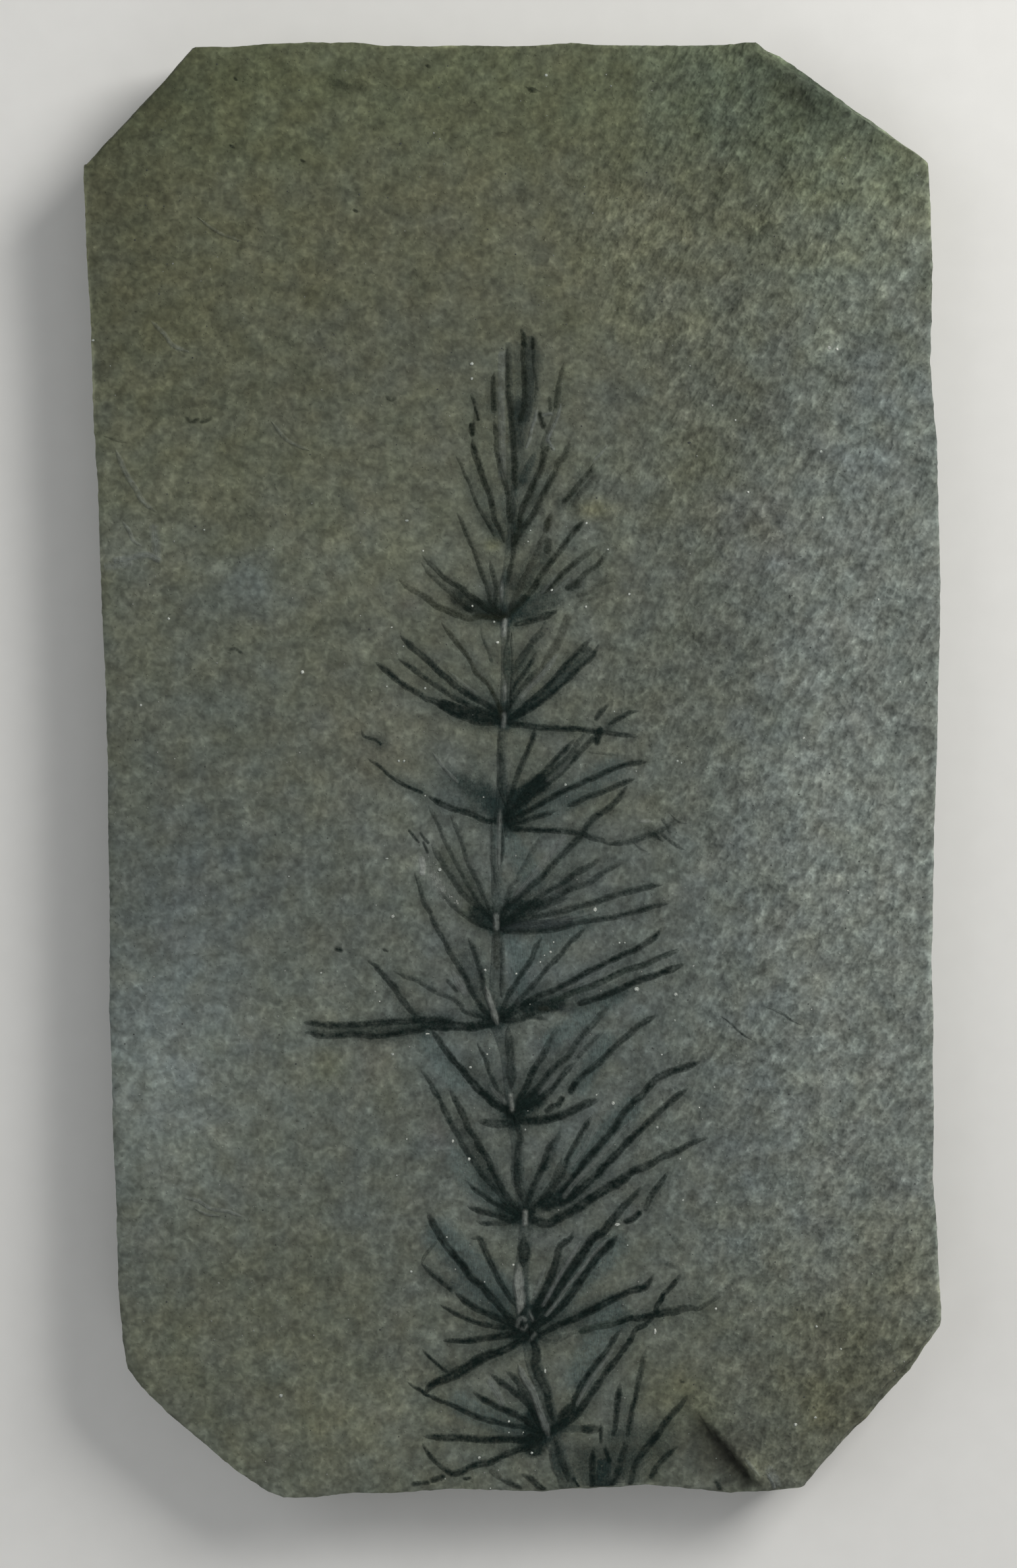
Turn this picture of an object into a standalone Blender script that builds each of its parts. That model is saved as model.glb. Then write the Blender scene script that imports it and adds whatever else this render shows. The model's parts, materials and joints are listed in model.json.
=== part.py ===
"""Fossil horsetail plate: one trimmed slab of dark shale that lies on its cleaved back.

The slab is drawn as a flat outline, extruded to its thickness, trimmed along its edges with
planes, and its upper face is divided and raised into the uneven cleavage surface. The stem and
the larger needle leaves of the horsetail are shallow furrows cut into that face.

Frame: metres, +Z up. The origin is under the middle of the plate, on the surface it lies on.
+Y runs up the length of the plate, towards the tip of the plant, and +X across it.
"""

import math

import bmesh
import bpy
from mathutils import Vector

# ---------------------------------------------------------------- driving dimensions
PART_NAME = "fossil_horsetail_plate"
UNIT = 0.0000725            # one drawing unit in metres
THICKNESS = 0.0090          # mean thickness of the slab
SWELL = 0.00042             # how far the cleavage surface rises and falls
RIM_CHAMFER = 0.00035       # worn upper rim
CELL = 0.0040               # spacing of the divisions of the upper face
STEM_DEPTH = 0.00028        # depth of the stem's furrow
LEAF_DEPTH = 0.00022        # depth of a leaf's furrow

# Outline of the plate in drawing units, x to the right and y downwards, clockwise from the
# upper left corner.
OUTLINE = [
    (131, 247), (160, 215), (200, 172), (220, 150), (250, 121), (266, 100), (279, 83), (291, 71),
    (350, 71), (398, 67), (464, 64), (545, 64), (577, 67), (632, 69), (690, 68), (766, 69),
    (816, 68), (866, 64), (904, 67), (1000, 68), (1097, 67), (1131, 63), (1147, 63), (1161, 70),
    (1184, 81), (1202, 92), (1233, 114), (1276, 146), (1317, 175), (1366, 211), (1399, 235),
    (1408, 248), (1411, 290), (1413, 345), (1415, 400), (1414, 475), (1412, 545), (1416, 600),
    (1422, 664), (1424, 740), (1426, 820), (1428, 884), (1426, 980), (1424, 1051), (1422, 1160),
    (1418, 1257), (1416, 1380), (1414, 1470), (1417, 1549), (1416, 1635), (1418, 1680),
    (1416, 1790), (1422, 1870), (1425, 1930), (1428, 1985), (1428, 2015), (1404, 2049),
    (1382, 2081), (1350, 2116), (1320, 2150), (1285, 2185), (1246, 2227), (1222, 2258),
    (1160, 2265), (1109, 2268), (1032, 2260), (979, 2255), (923, 2259), (857, 2261), (823, 2265),
    (740, 2262), (689, 2260), (592, 2267), (536, 2266), (478, 2273), (430, 2274), (406, 2265),
    (350, 2227), (295, 2179), (253, 2144), (214, 2105), (193, 2078), (186, 2035), (179, 1950),
    (176, 1820), (171, 1727), (169, 1630), (165, 1535), (166, 1410), (164, 1271), (163, 1180),
    (160, 1040), (154, 930), (151, 840), (148, 745), (142, 650), (139, 567), (137, 484),
    (133, 428), (130, 359), (127, 276), (126, 248),
]

# Stem: (x, y, half width) from the tip of the shoot down to the lower edge.
STEM = [
    (776, 660, 3), (779, 738, 6), (773, 833, 7), (766, 940, 8), (770, 1092, 9), (761, 1239, 9),
    (758, 1402, 9), (750, 1549, 9), (778, 1686, 10), (802, 1838, 11), (799, 2010, 12),
    (836, 2170, 14), (866, 2275, 15),
]

# Larger leaves, one row each, from near the stem out to the tip, in drawing units.
LEAVES = [
    [(792, 700), (840, 640), (856, 560)], [(826, 754), (868, 690), (880, 664)],
    [(742, 700), (722, 650), (716, 600)], [(752, 640), (748, 567)],
    [(735, 868), (697, 781)], [(716, 910), (643, 839)], [(800, 905), (850, 835), (885, 791)],
    [(700, 1089), (640, 1056), (572, 1007)], [(716, 1038), (650, 1002), (613, 968)],
    [(808, 1062), (860, 1020), (898, 978)], [(822, 1103), (960, 1116)],
    [(812, 1222), (862, 1203)], [(700, 1234), (610, 1190), (555, 1145)],
    [(816, 1262), (938, 1282)],
    [(800, 1356), (870, 1282), (960, 1190)], [(820, 1392), (930, 1361), (1003, 1343)],
    [(730, 1350), (685, 1236)], [(700, 1352), (627, 1267)],
    [(800, 1534), (900, 1493), (1030, 1442)], [(724, 1506), (631, 1325)],
    [(716, 1557), (600, 1556), (466, 1555)], [(790, 1476), (821, 1423)],
    [(742, 1662), (650, 1563), (564, 1459)], [(816, 1668), (900, 1604), (993, 1542)],
    [(820, 1697), (908, 1665)],
    [(760, 1818), (694, 1722), (640, 1602)], [(842, 1800), (950, 1694), (1059, 1614)],
    [(856, 1826), (970, 1777), (1073, 1728)],
    [(766, 1986), (694, 1905), (654, 1847)], [(838, 1962), (908, 1879), (1010, 1780)],
    [(850, 2024), (960, 2003), (1093, 1967)], [(762, 2044), (690, 2093), (628, 2108)],
    [(880, 2132), (971, 2015), (1034, 1928)], [(786, 2166), (700, 2142), (645, 2117)],
    [(776, 2209), (689, 2238), (652, 2206)],
    [(958, 2216), (1004, 2176), (1044, 2122)], [(940, 2150), (942, 2102)],
]


def extent(values):
    return min(values), max(values)


X_LOW, X_HIGH = extent([p[0] for p in OUTLINE])
Y_LOW, Y_HIGH = extent([p[1] for p in OUTLINE])
X_MIDDLE = 0.5 * (X_LOW + X_HIGH)
Y_MIDDLE = 0.5 * (Y_LOW + Y_HIGH)


def place(x, y):
    """Drawing units to the plate's own X and Y in metres."""
    return (x - X_MIDDLE) * UNIT, (Y_MIDDLE - y) * UNIT


def smooth(a, b, v):
    t = min(1.0, max(0.0, (v - a) / (b - a)))
    return t * t * (3.0 - 2.0 * t)


def cleavage(x, y):
    """Height of the uneven cleavage surface above or below the mean thickness."""
    u, v = x * 1000.0, y * 1000.0
    h = 0.42 * math.sin(0.071 * u + 0.6) * math.cos(0.043 * v - 0.4)
    h += 0.26 * math.sin(0.131 * u - 0.094 * v + 1.3)
    h += 0.16 * math.sin(0.223 * u + 0.171 * v + 0.4)
    # the right side is rougher than the left
    rough = smooth(6.0, 30.0, u)
    h += rough * 0.22 * math.sin(0.52 * u + 0.61 * v)
    h += rough * 0.16 * math.sin(0.87 * u - 0.33 * v + 2.0)
    # shallow hollow at the lower right, where a flake has come away
    du, dv = u - 23.5, v + 75.5
    hollow = math.exp(-(du * du) / 9.0 - (dv * dv) / 12.0)
    return SWELL * (h - 1.1 * hollow)


# ---------------------------------------------------------------- start from an empty scene
for old in list(bpy.data.objects):
    bpy.data.objects.remove(old, do_unlink=True)

parts = bpy.data.collections.new(PART_NAME)
cutters = bpy.data.collections.new("cutters")
bpy.context.scene.collection.children.link(parts)
bpy.context.scene.collection.children.link(cutters)


def to_mesh(curve_object, name, collection):
    """Turn a curve object into a welded mesh object and remove the curve."""
    depsgraph = bpy.context.evaluated_depsgraph_get()
    mesh = bpy.data.meshes.new_from_object(curve_object.evaluated_get(depsgraph))
    mesh.name = name
    bm = bmesh.new()
    bm.from_mesh(mesh)
    bmesh.ops.remove_doubles(bm, verts=bm.verts, dist=0.000002)
    bmesh.ops.recalc_face_normals(bm, faces=bm.faces)
    bm.to_mesh(mesh)
    bm.free()
    new = bpy.data.objects.new(name, mesh)
    new.matrix_world = curve_object.matrix_world
    collection.objects.link(new)
    bpy.data.objects.remove(curve_object, do_unlink=True)
    return new


# ---------------------------------------------------------------- the slab
curve = bpy.data.curves.new("outline", "CURVE")
curve.dimensions = "2D"
curve.fill_mode = "BOTH"
curve.extrude = THICKNESS / 2.0
spline = curve.splines.new("POLY")
spline.points.add(len(OUTLINE) - 1)
for point, (px, py) in zip(spline.points, OUTLINE):
    x, y = place(px, py)
    point.co = (x, y, 0.0, 1.0)
spline.use_cyclic_u = True
outline = bpy.data.objects.new("outline", curve)
outline.location = (0.0, 0.0, THICKNESS / 2.0)
cutters.objects.link(outline)
bpy.context.view_layer.update()
plate = to_mesh(outline, "shale_plate", parts)

bm = bmesh.new()
bm.from_mesh(plate.data)
bmesh.ops.transform(bm, matrix=plate.matrix_world, verts=bm.verts)
plate.location = (0.0, 0.0, 0.0)
bmesh.ops.dissolve_limit(bm, angle_limit=math.radians(0.05), verts=bm.verts, edges=bm.edges,
                         use_dissolve_boundaries=False)
# The outline's points are kept: dissolve_limit merges only the triangles of the two caps.


def trim(point, normal):
    """Cut away everything on the far side of a plane and close the cut."""
    geometry = list(bm.verts) + list(bm.edges) + list(bm.faces)
    cut = bmesh.ops.bisect_plane(bm, geom=geometry, dist=0.000001, plane_co=point,
                                 plane_no=normal, clear_outer=True)
    rim = [e for e in cut["geom_cut"] if isinstance(e, bmesh.types.BMEdge)]
    bmesh.ops.edgenet_fill(bm, edges=rim)


def edge_plane(start, end, inset, drop, upper=True):
    """Plane along one straight edge of the plate: `inset` in from the edge, `drop` down (or up)."""
    ax, ay = place(*start)
    bx, by = place(*end)
    along = Vector((bx - ax, by - ay, 0.0)).normalized()
    outward = Vector((-along.y, along.x, 0.0))
    if outward.dot(Vector((ax + bx, ay + by, 0.0))) < 0.0:
        outward = -outward
    top = THICKNESS if upper else 0.0
    sign = 1.0 if upper else -1.0
    point = Vector((0.5 * (ax + bx), 0.5 * (ay + by), top)) - outward * inset
    normal = (outward * drop + Vector((0.0, 0.0, sign)) * inset).normalized()
    return point, normal


# sawn and broken facets along the rim: upper right corner, lower right corner, two back edges
trim(*edge_plane((1161, 68), (1408, 240), 0.0009, 0.0016))
trim(*edge_plane((1428, 2015), (1222, 2258), 0.0005, 0.0012))
trim(*edge_plane((126, 247), (291, 68), 0.0006, 0.0014))
trim(*edge_plane((193, 2080), (430, 2276), 0.0012, 0.0030, upper=False))
trim(*edge_plane((1161, 68), (1408, 240), 0.0010, 0.0022, upper=False))

# worn upper rim
top = [f for f in bm.faces if f.normal.z > 0.99 and f.calc_center_median().z > THICKNESS - 1e-6]
rim = {e for f in top for e in f.edges if not all(g in top for g in e.link_faces)}
bmesh.ops.bevel(bm, geom=list(rim), offset=RIM_CHAMFER, offset_type="OFFSET", segments=1,
                profile=0.5, affect="EDGES", clamp_overlap=True)

# divide the upper face into cells and raise them into the cleavage surface
for axis, low, high in (("x", *(place(X_LOW, 0)[0], place(X_HIGH, 0)[0])),
                        ("y", *(place(0, Y_HIGH)[1], place(0, Y_LOW)[1]))):
    count = int((high - low) / CELL)
    step = (high - low) / count
    for k in range(1, count):
        at = low + k * step
        faces = [f for f in bm.faces
                 if f.normal.z > 0.99 and f.calc_center_median().z > THICKNESS - 1e-6]
        edges = {e for f in faces for e in f.edges}
        verts = {v for f in faces for v in f.verts}
        normal = (1, 0, 0) if axis == "x" else (0, 1, 0)
        point = (at, 0, 0) if axis == "x" else (0, at, 0)
        bmesh.ops.bisect_plane(bm, geom=list(verts) + list(edges) + faces, dist=0.00012,
                               plane_co=point, plane_no=normal)
for v in bm.verts:
    if v.co.z > THICKNESS - 1e-6:
        v.co.z += cleavage(v.co.x, v.co.y)
bmesh.ops.triangulate(bm, faces=[f for f in bm.faces if len(f.verts) > 3])
bmesh.ops.recalc_face_normals(bm, faces=bm.faces)
bm.to_mesh(plate.data)
bm.free()

# ---------------------------------------------------------------- furrows of stem and leaves


def furrow(name, rows, depth):
    """A four-sided tapering rod along the surface, sunk so that it cuts `depth` deep."""
    data = bpy.data.curves.new(name, "CURVE")
    data.dimensions = "3D"
    data.bevel_depth = 0.001
    data.bevel_resolution = 0
    data.use_fill_caps = True
    line = data.splines.new("POLY")
    line.points.add(len(rows) - 1)
    for point, (px, py, half) in zip(line.points, rows):
        x, y = place(px, py)
        radius = half * UNIT
        z = THICKNESS + cleavage(x, y) + max(0.0, radius - depth)
        point.co = (x, y, z, 1.0)
        point.radius = radius / 0.001
    rod = bpy.data.objects.new(name, data)
    cutters.objects.link(rod)
    bpy.context.view_layer.update()
    rod = to_mesh(rod, name, cutters)
    rod.hide_render = True
    rod.display_type = "WIRE"
    return rod


def cut(target, rod):
    modifier = target.modifiers.new(rod.name, "BOOLEAN")
    modifier.operation = "DIFFERENCE"
    modifier.object = rod
    modifier.solver = "EXACT"


cut(plate, furrow("stem_furrow", STEM, STEM_DEPTH))
for index, leaf in enumerate(LEAVES):
    last = len(leaf) - 1
    rows = [(x, y, 5.0 - 2.0 * k / last) for k, (x, y) in enumerate(leaf)]
    cut(plate, furrow("leaf_furrow_%02d" % (index + 1), rows, LEAF_DEPTH))

# ---------------------------------------------------------------- material
shale = bpy.data.materials.new("dark_shale")
shale.use_nodes = True
surface = shale.node_tree.nodes["Principled BSDF"]
surface.inputs["Base Color"].default_value = (0.085, 0.092, 0.078, 1.0)
surface.inputs["Roughness"].default_value = 0.78
surface.inputs["Metallic"].default_value = 0.0
plate.data.materials.clear()
plate.data.materials.append(shale)
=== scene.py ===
import json
import math

import bpy
import numpy as np
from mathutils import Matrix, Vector
from mathutils.bvhtree import BVHTree
from mathutils.geometry import delaunay_2d_cdt

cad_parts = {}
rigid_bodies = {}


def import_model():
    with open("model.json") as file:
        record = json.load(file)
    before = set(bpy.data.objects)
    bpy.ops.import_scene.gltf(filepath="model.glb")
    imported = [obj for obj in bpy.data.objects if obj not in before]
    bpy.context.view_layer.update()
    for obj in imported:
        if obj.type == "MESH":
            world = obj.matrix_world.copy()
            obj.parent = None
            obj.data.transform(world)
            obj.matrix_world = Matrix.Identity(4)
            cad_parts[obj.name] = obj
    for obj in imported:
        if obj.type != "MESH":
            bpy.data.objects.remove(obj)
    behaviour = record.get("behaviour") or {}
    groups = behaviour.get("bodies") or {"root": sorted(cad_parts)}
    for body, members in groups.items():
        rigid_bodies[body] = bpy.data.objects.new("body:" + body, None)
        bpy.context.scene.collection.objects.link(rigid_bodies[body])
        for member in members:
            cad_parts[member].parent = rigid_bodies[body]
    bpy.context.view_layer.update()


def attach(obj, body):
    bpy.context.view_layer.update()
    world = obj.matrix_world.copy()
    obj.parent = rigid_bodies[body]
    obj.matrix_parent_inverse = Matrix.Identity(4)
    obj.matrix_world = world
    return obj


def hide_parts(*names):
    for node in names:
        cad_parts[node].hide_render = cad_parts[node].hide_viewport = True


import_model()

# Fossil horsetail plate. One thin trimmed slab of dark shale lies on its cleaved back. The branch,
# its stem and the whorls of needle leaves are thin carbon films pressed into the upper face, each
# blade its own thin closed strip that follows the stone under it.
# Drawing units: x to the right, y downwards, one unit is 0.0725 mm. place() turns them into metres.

scene = bpy.context.scene
for old in [o for o in scene.objects if o.name == "Cube"]:
    bpy.data.objects.remove(old, do_unlink=True)

# ------------------------------------------------------------------ dimensions, as in the model
UNIT = 0.0000725
THICKNESS = 0.0090
SWELL = 0.00042
X_MIDDLE, Y_MIDDLE = 777.0, 1168.5

OUTLINE = [
    (131, 247), (160, 215), (200, 172), (220, 150), (250, 121), (266, 100), (279, 83), (291, 71),
    (350, 71), (398, 67), (464, 64), (545, 64), (577, 67), (632, 69), (690, 68), (766, 69),
    (816, 68), (866, 64), (904, 67), (1000, 68), (1097, 67), (1131, 63), (1147, 63), (1161, 70),
    (1184, 81), (1202, 92), (1233, 114), (1276, 146), (1317, 175), (1366, 211), (1399, 235),
    (1408, 248), (1411, 290), (1413, 345), (1415, 400), (1414, 475), (1412, 545), (1416, 600),
    (1422, 664), (1424, 740), (1426, 820), (1428, 884), (1426, 980), (1424, 1051), (1422, 1160),
    (1418, 1257), (1416, 1380), (1414, 1470), (1417, 1549), (1416, 1635), (1418, 1680),
    (1416, 1790), (1422, 1870), (1425, 1930), (1428, 1985), (1428, 2015), (1404, 2049),
    (1382, 2081), (1350, 2116), (1320, 2150), (1285, 2185), (1246, 2227), (1222, 2258),
    (1160, 2265), (1109, 2268), (1032, 2260), (979, 2255), (923, 2259), (857, 2261), (823, 2265),
    (740, 2262), (689, 2260), (592, 2267), (536, 2266), (478, 2273), (430, 2274), (406, 2265),
    (350, 2227), (295, 2179), (253, 2144), (214, 2105), (193, 2078), (186, 2035), (179, 1950),
    (176, 1820), (171, 1727), (169, 1630), (165, 1535), (166, 1410), (164, 1271), (163, 1180),
    (160, 1040), (154, 930), (151, 840), (148, 745), (142, 650), (139, 567), (137, 484),
    (133, 428), (130, 359), (127, 276), (126, 248),
]
OUT = np.array(OUTLINE, float)


def place(x, y):
    return (x - X_MIDDLE) * UNIT, (Y_MIDDLE - y) * UNIT


def ramp(a, b, v):
    t = np.clip((v - a) / (b - a), 0.0, 1.0)
    return t * t * (3.0 - 2.0 * t)


# ------------------------------------------------------------------ repeatable noise
def lattice(ix, iy, seed):
    n = (ix.astype(np.int64) * 374761393 + iy.astype(np.int64) * 668265263
         + seed * 974634777) & 0xFFFFFFFF
    n = ((n ^ (n >> 13)) * 1274126177) & 0xFFFFFFFF
    n = n ^ (n >> 16)
    return (n & 0xFFFFFF) / float(0xFFFFFF)


def wave(x, y, seed):
    """Smooth noise from about -1 to 1 with features one unit across."""
    x, y = np.broadcast_arrays(np.asarray(x, float), np.asarray(y, float))
    ix, iy = np.floor(x), np.floor(y)
    fx, fy = x - ix, y - iy

    def corner(dx, dy):
        a = lattice(ix + dx, iy + dy, seed) * 2.0 * math.pi
        return np.cos(a) * (fx - dx) + np.sin(a) * (fy - dy)

    u = fx ** 3 * (fx * (fx * 6.0 - 15.0) + 10.0)
    v = fy ** 3 * (fy * (fy * 6.0 - 15.0) + 10.0)
    low = corner(0, 0) * (1.0 - u) + corner(1, 0) * u
    high = corner(0, 1) * (1.0 - u) + corner(1, 1) * u
    return 1.5 * (low * (1.0 - v) + high * v)


# ------------------------------------------------------------------ the cleavage surface
def edge_distance(x, y):
    """Distance in from the outline, negative outside it."""
    a, b = OUT, np.roll(OUT, -1, axis=0)
    best = np.full(x.shape, 1e9)
    inside = np.zeros(x.shape, bool)
    for (ax, ay), (bx, by) in zip(a, b):
        dx, dy = bx - ax, by - ay
        t = np.clip(((x - ax) * dx + (y - ay) * dy) / (dx * dx + dy * dy), 0.0, 1.0)
        best = np.minimum(best, np.hypot(x - ax - t * dx, y - ay - t * dy))
        if ay != by:
            cross = (ay > y) != (by > y)
            inside ^= cross & (x < (bx - ax) * (y - ay) / (by - ay) + ax)
    return np.where(inside, best, -best)


def line_side(x, y, a, b):
    """Distance from the line through a and b, and how far along it, from 0 to 1."""
    dx, dy = b[0] - a[0], b[1] - a[1]
    long = math.hypot(dx, dy)
    return (((x - a[0]) * dy - (y - a[1]) * dx) / long,
            ((x - a[0]) * dx + (y - a[1]) * dy) / (long * long))


def roughness_of(x, y):
    """0 on the smooth left, 1 on the hackly right."""
    edge = 730.0 + 150.0 * wave(x / 230.0, y / 230.0, 71) + 0.08 * (y - 1200.0)
    return np.maximum(ramp(edge, edge + 440.0, x), 0.40 * ramp(960.0, 1300.0, y) * ramp(330.0, 620.0, x))


def mound(x, y, cx, cy, rx, ry, turn=0.0):
    c, s = math.cos(turn), math.sin(turn)
    u, v = (x - cx) * c + (y - cy) * s, -(x - cx) * s + (y - cy) * c
    return np.exp(-(u / rx) ** 2 - (v / ry) ** 2)


def surface(x, y, d):
    """Height in metres of the upper face, d units in from the rim."""
    gx, gy = place(x, y)
    u, v = gx * 1000.0, gy * 1000.0
    h = 0.42 * np.sin(0.071 * u + 0.6) * np.cos(0.043 * v - 0.4)
    h += 0.26 * np.sin(0.131 * u - 0.094 * v + 1.3)
    h += 0.16 * np.sin(0.223 * u + 0.171 * v + 0.4)
    right = ramp(6.0, 30.0, u)
    h += right * 0.22 * np.sin(0.52 * u + 0.61 * v)
    h += right * 0.16 * np.sin(0.87 * u - 0.33 * v + 2.0)
    z = THICKNESS + SWELL * h
    mm = 0.001
    rough = roughness_of(x, y)
    # low swells and shallow dimples everywhere
    z = z + mm * 0.060 * wave(x / 120.0, y / 105.0, 3)
    z = z + mm * (0.016 + 0.020 * rough) * wave(x / 46.0, y / 40.0, 5)
    z = z + mm * (0.012 + 0.030 * rough) * wave(x / 21.0, y / 19.0, 7)
    # short streaks that run from lower left to upper right
    a = math.radians(52.0)
    along, across = x * math.cos(a) - y * math.sin(a), x * math.sin(a) + y * math.cos(a)
    bend = 10.0 * wave(x / 90.0, y / 90.0, 9)
    z = z + mm * 0.175 * rough * wave(along / 62.0, (across + bend) / 26.0, 11)
    z = z + mm * 0.110 * rough * wave(along / 34.0, (across + bend) / 15.5, 13)
    # oblique crease at the right edge, faint steps and scars
    off, t = line_side(x, y, (1238, 566), (1416, 384))
    off = off + 7.0 * wave(x / 38.0, y / 38.0, 15)
    z = z + mm * 0.10 * np.tanh(off / 9.0) * np.exp(-(off / 34.0) ** 2) * ramp(-.1, .15, t) * ramp(1.1, .8, t)
    off, t = line_side(x, y, (1160, 1190), (1250, 1160))
    z = z - mm * 0.10 * np.exp(-(off / 6.0) ** 2) * ramp(0, .2, t) * ramp(1, .7, t)
    for cx, cy, rx, ry, turn, up in (
            (1209, 1180, 17, 7, 1.1, -0.16), (1402, 812, 24, 46, 0.1, 0.13),
            (200, 838, 40, 26, -0.5, 0.07), (322, 1832, 60, 9, 0.25, 0.05),
            (318, 1850, 52, 7, 0.25, -0.045), (1085, 1562, 46, 7, 0.9, -0.03),
            (1262, 1640, 26, 60, 0.6, 0.07), (640, 1610, 46, 44, 0.0, -0.03),
            (1195, 330, 70, 18, -0.9, 0.05), (1330, 1480, 60, 20, -0.8, 0.06),
            (1180, 890, 30, 64, 0.7, 0.05)):
        z = z + mm * up * mound(x, y, cx, cy, rx, ry, turn)
    # hollow at the lower right: a flake has come away up to a scarp that faces lower left
    off, t = line_side(x, y, (1066, 2152), (1144, 2244))
    off = off + 2.0 * wave(x / 16.0, y / 16.0, 17)
    fall = ramp(3.0, -6.0, off)
    floor = np.exp(-np.clip(-off, 0.0, None) / 70.0)
    z = z - mm * 0.95 * fall * floor * ramp(-.12, .3, t) * ramp(1.35, 1.0, t)
    z = z + mm * 0.10 * np.exp(-((off - 8.0) / 9.0) ** 2) * ramp(0, .5, t) * ramp(1.3, 1.0, t)
    # worn rim, with shallow chips
    chip = np.clip(wave(x / 55.0, y / 55.0, 19) - 0.28, 0.0, None) / 0.5
    z = z - mm * (0.20 + 0.10 * wave(x / 30.0, y / 30.0, 21)) * np.exp(-d / 3.0)
    z = z - mm * 0.30 * chip * np.exp(-(d / 9.0) ** 2)
    # sawn and broken facets along three corners
    for start, end, wide, drop in (((1161, 70), (1408, 240), (15.0, 8.0, 5.0), 1.5),
                                   ((1428, 2015), (1222, 2258), (6.0, 8.0, 6.0), 1.1),
                                   ((126, 247), (291, 70), (6.0, 8.0, 5.0), 1.2)):
        off, t = line_side(x, y, start, end)
        off = np.clip(-off, 0.0, None)
        inset = np.interp(t, (0.0, 0.5, 1.0), wide) * (1.0 + 0.25 * wave(x / 24.0, y / 24.0, 23))
        near = ramp(-.06, .02, t) * ramp(1.06, .98, t)
        z = z - mm * drop * near * np.clip(1.0 - off / inset, 0.0, 1.0)
    return z


# ------------------------------------------------------------------ broad tones of the stone
def lerp3(low, high, t):
    return np.asarray(low)[None, :] * (1.0 - t[:, None]) + np.asarray(high)[None, :] * t[:, None]


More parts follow.
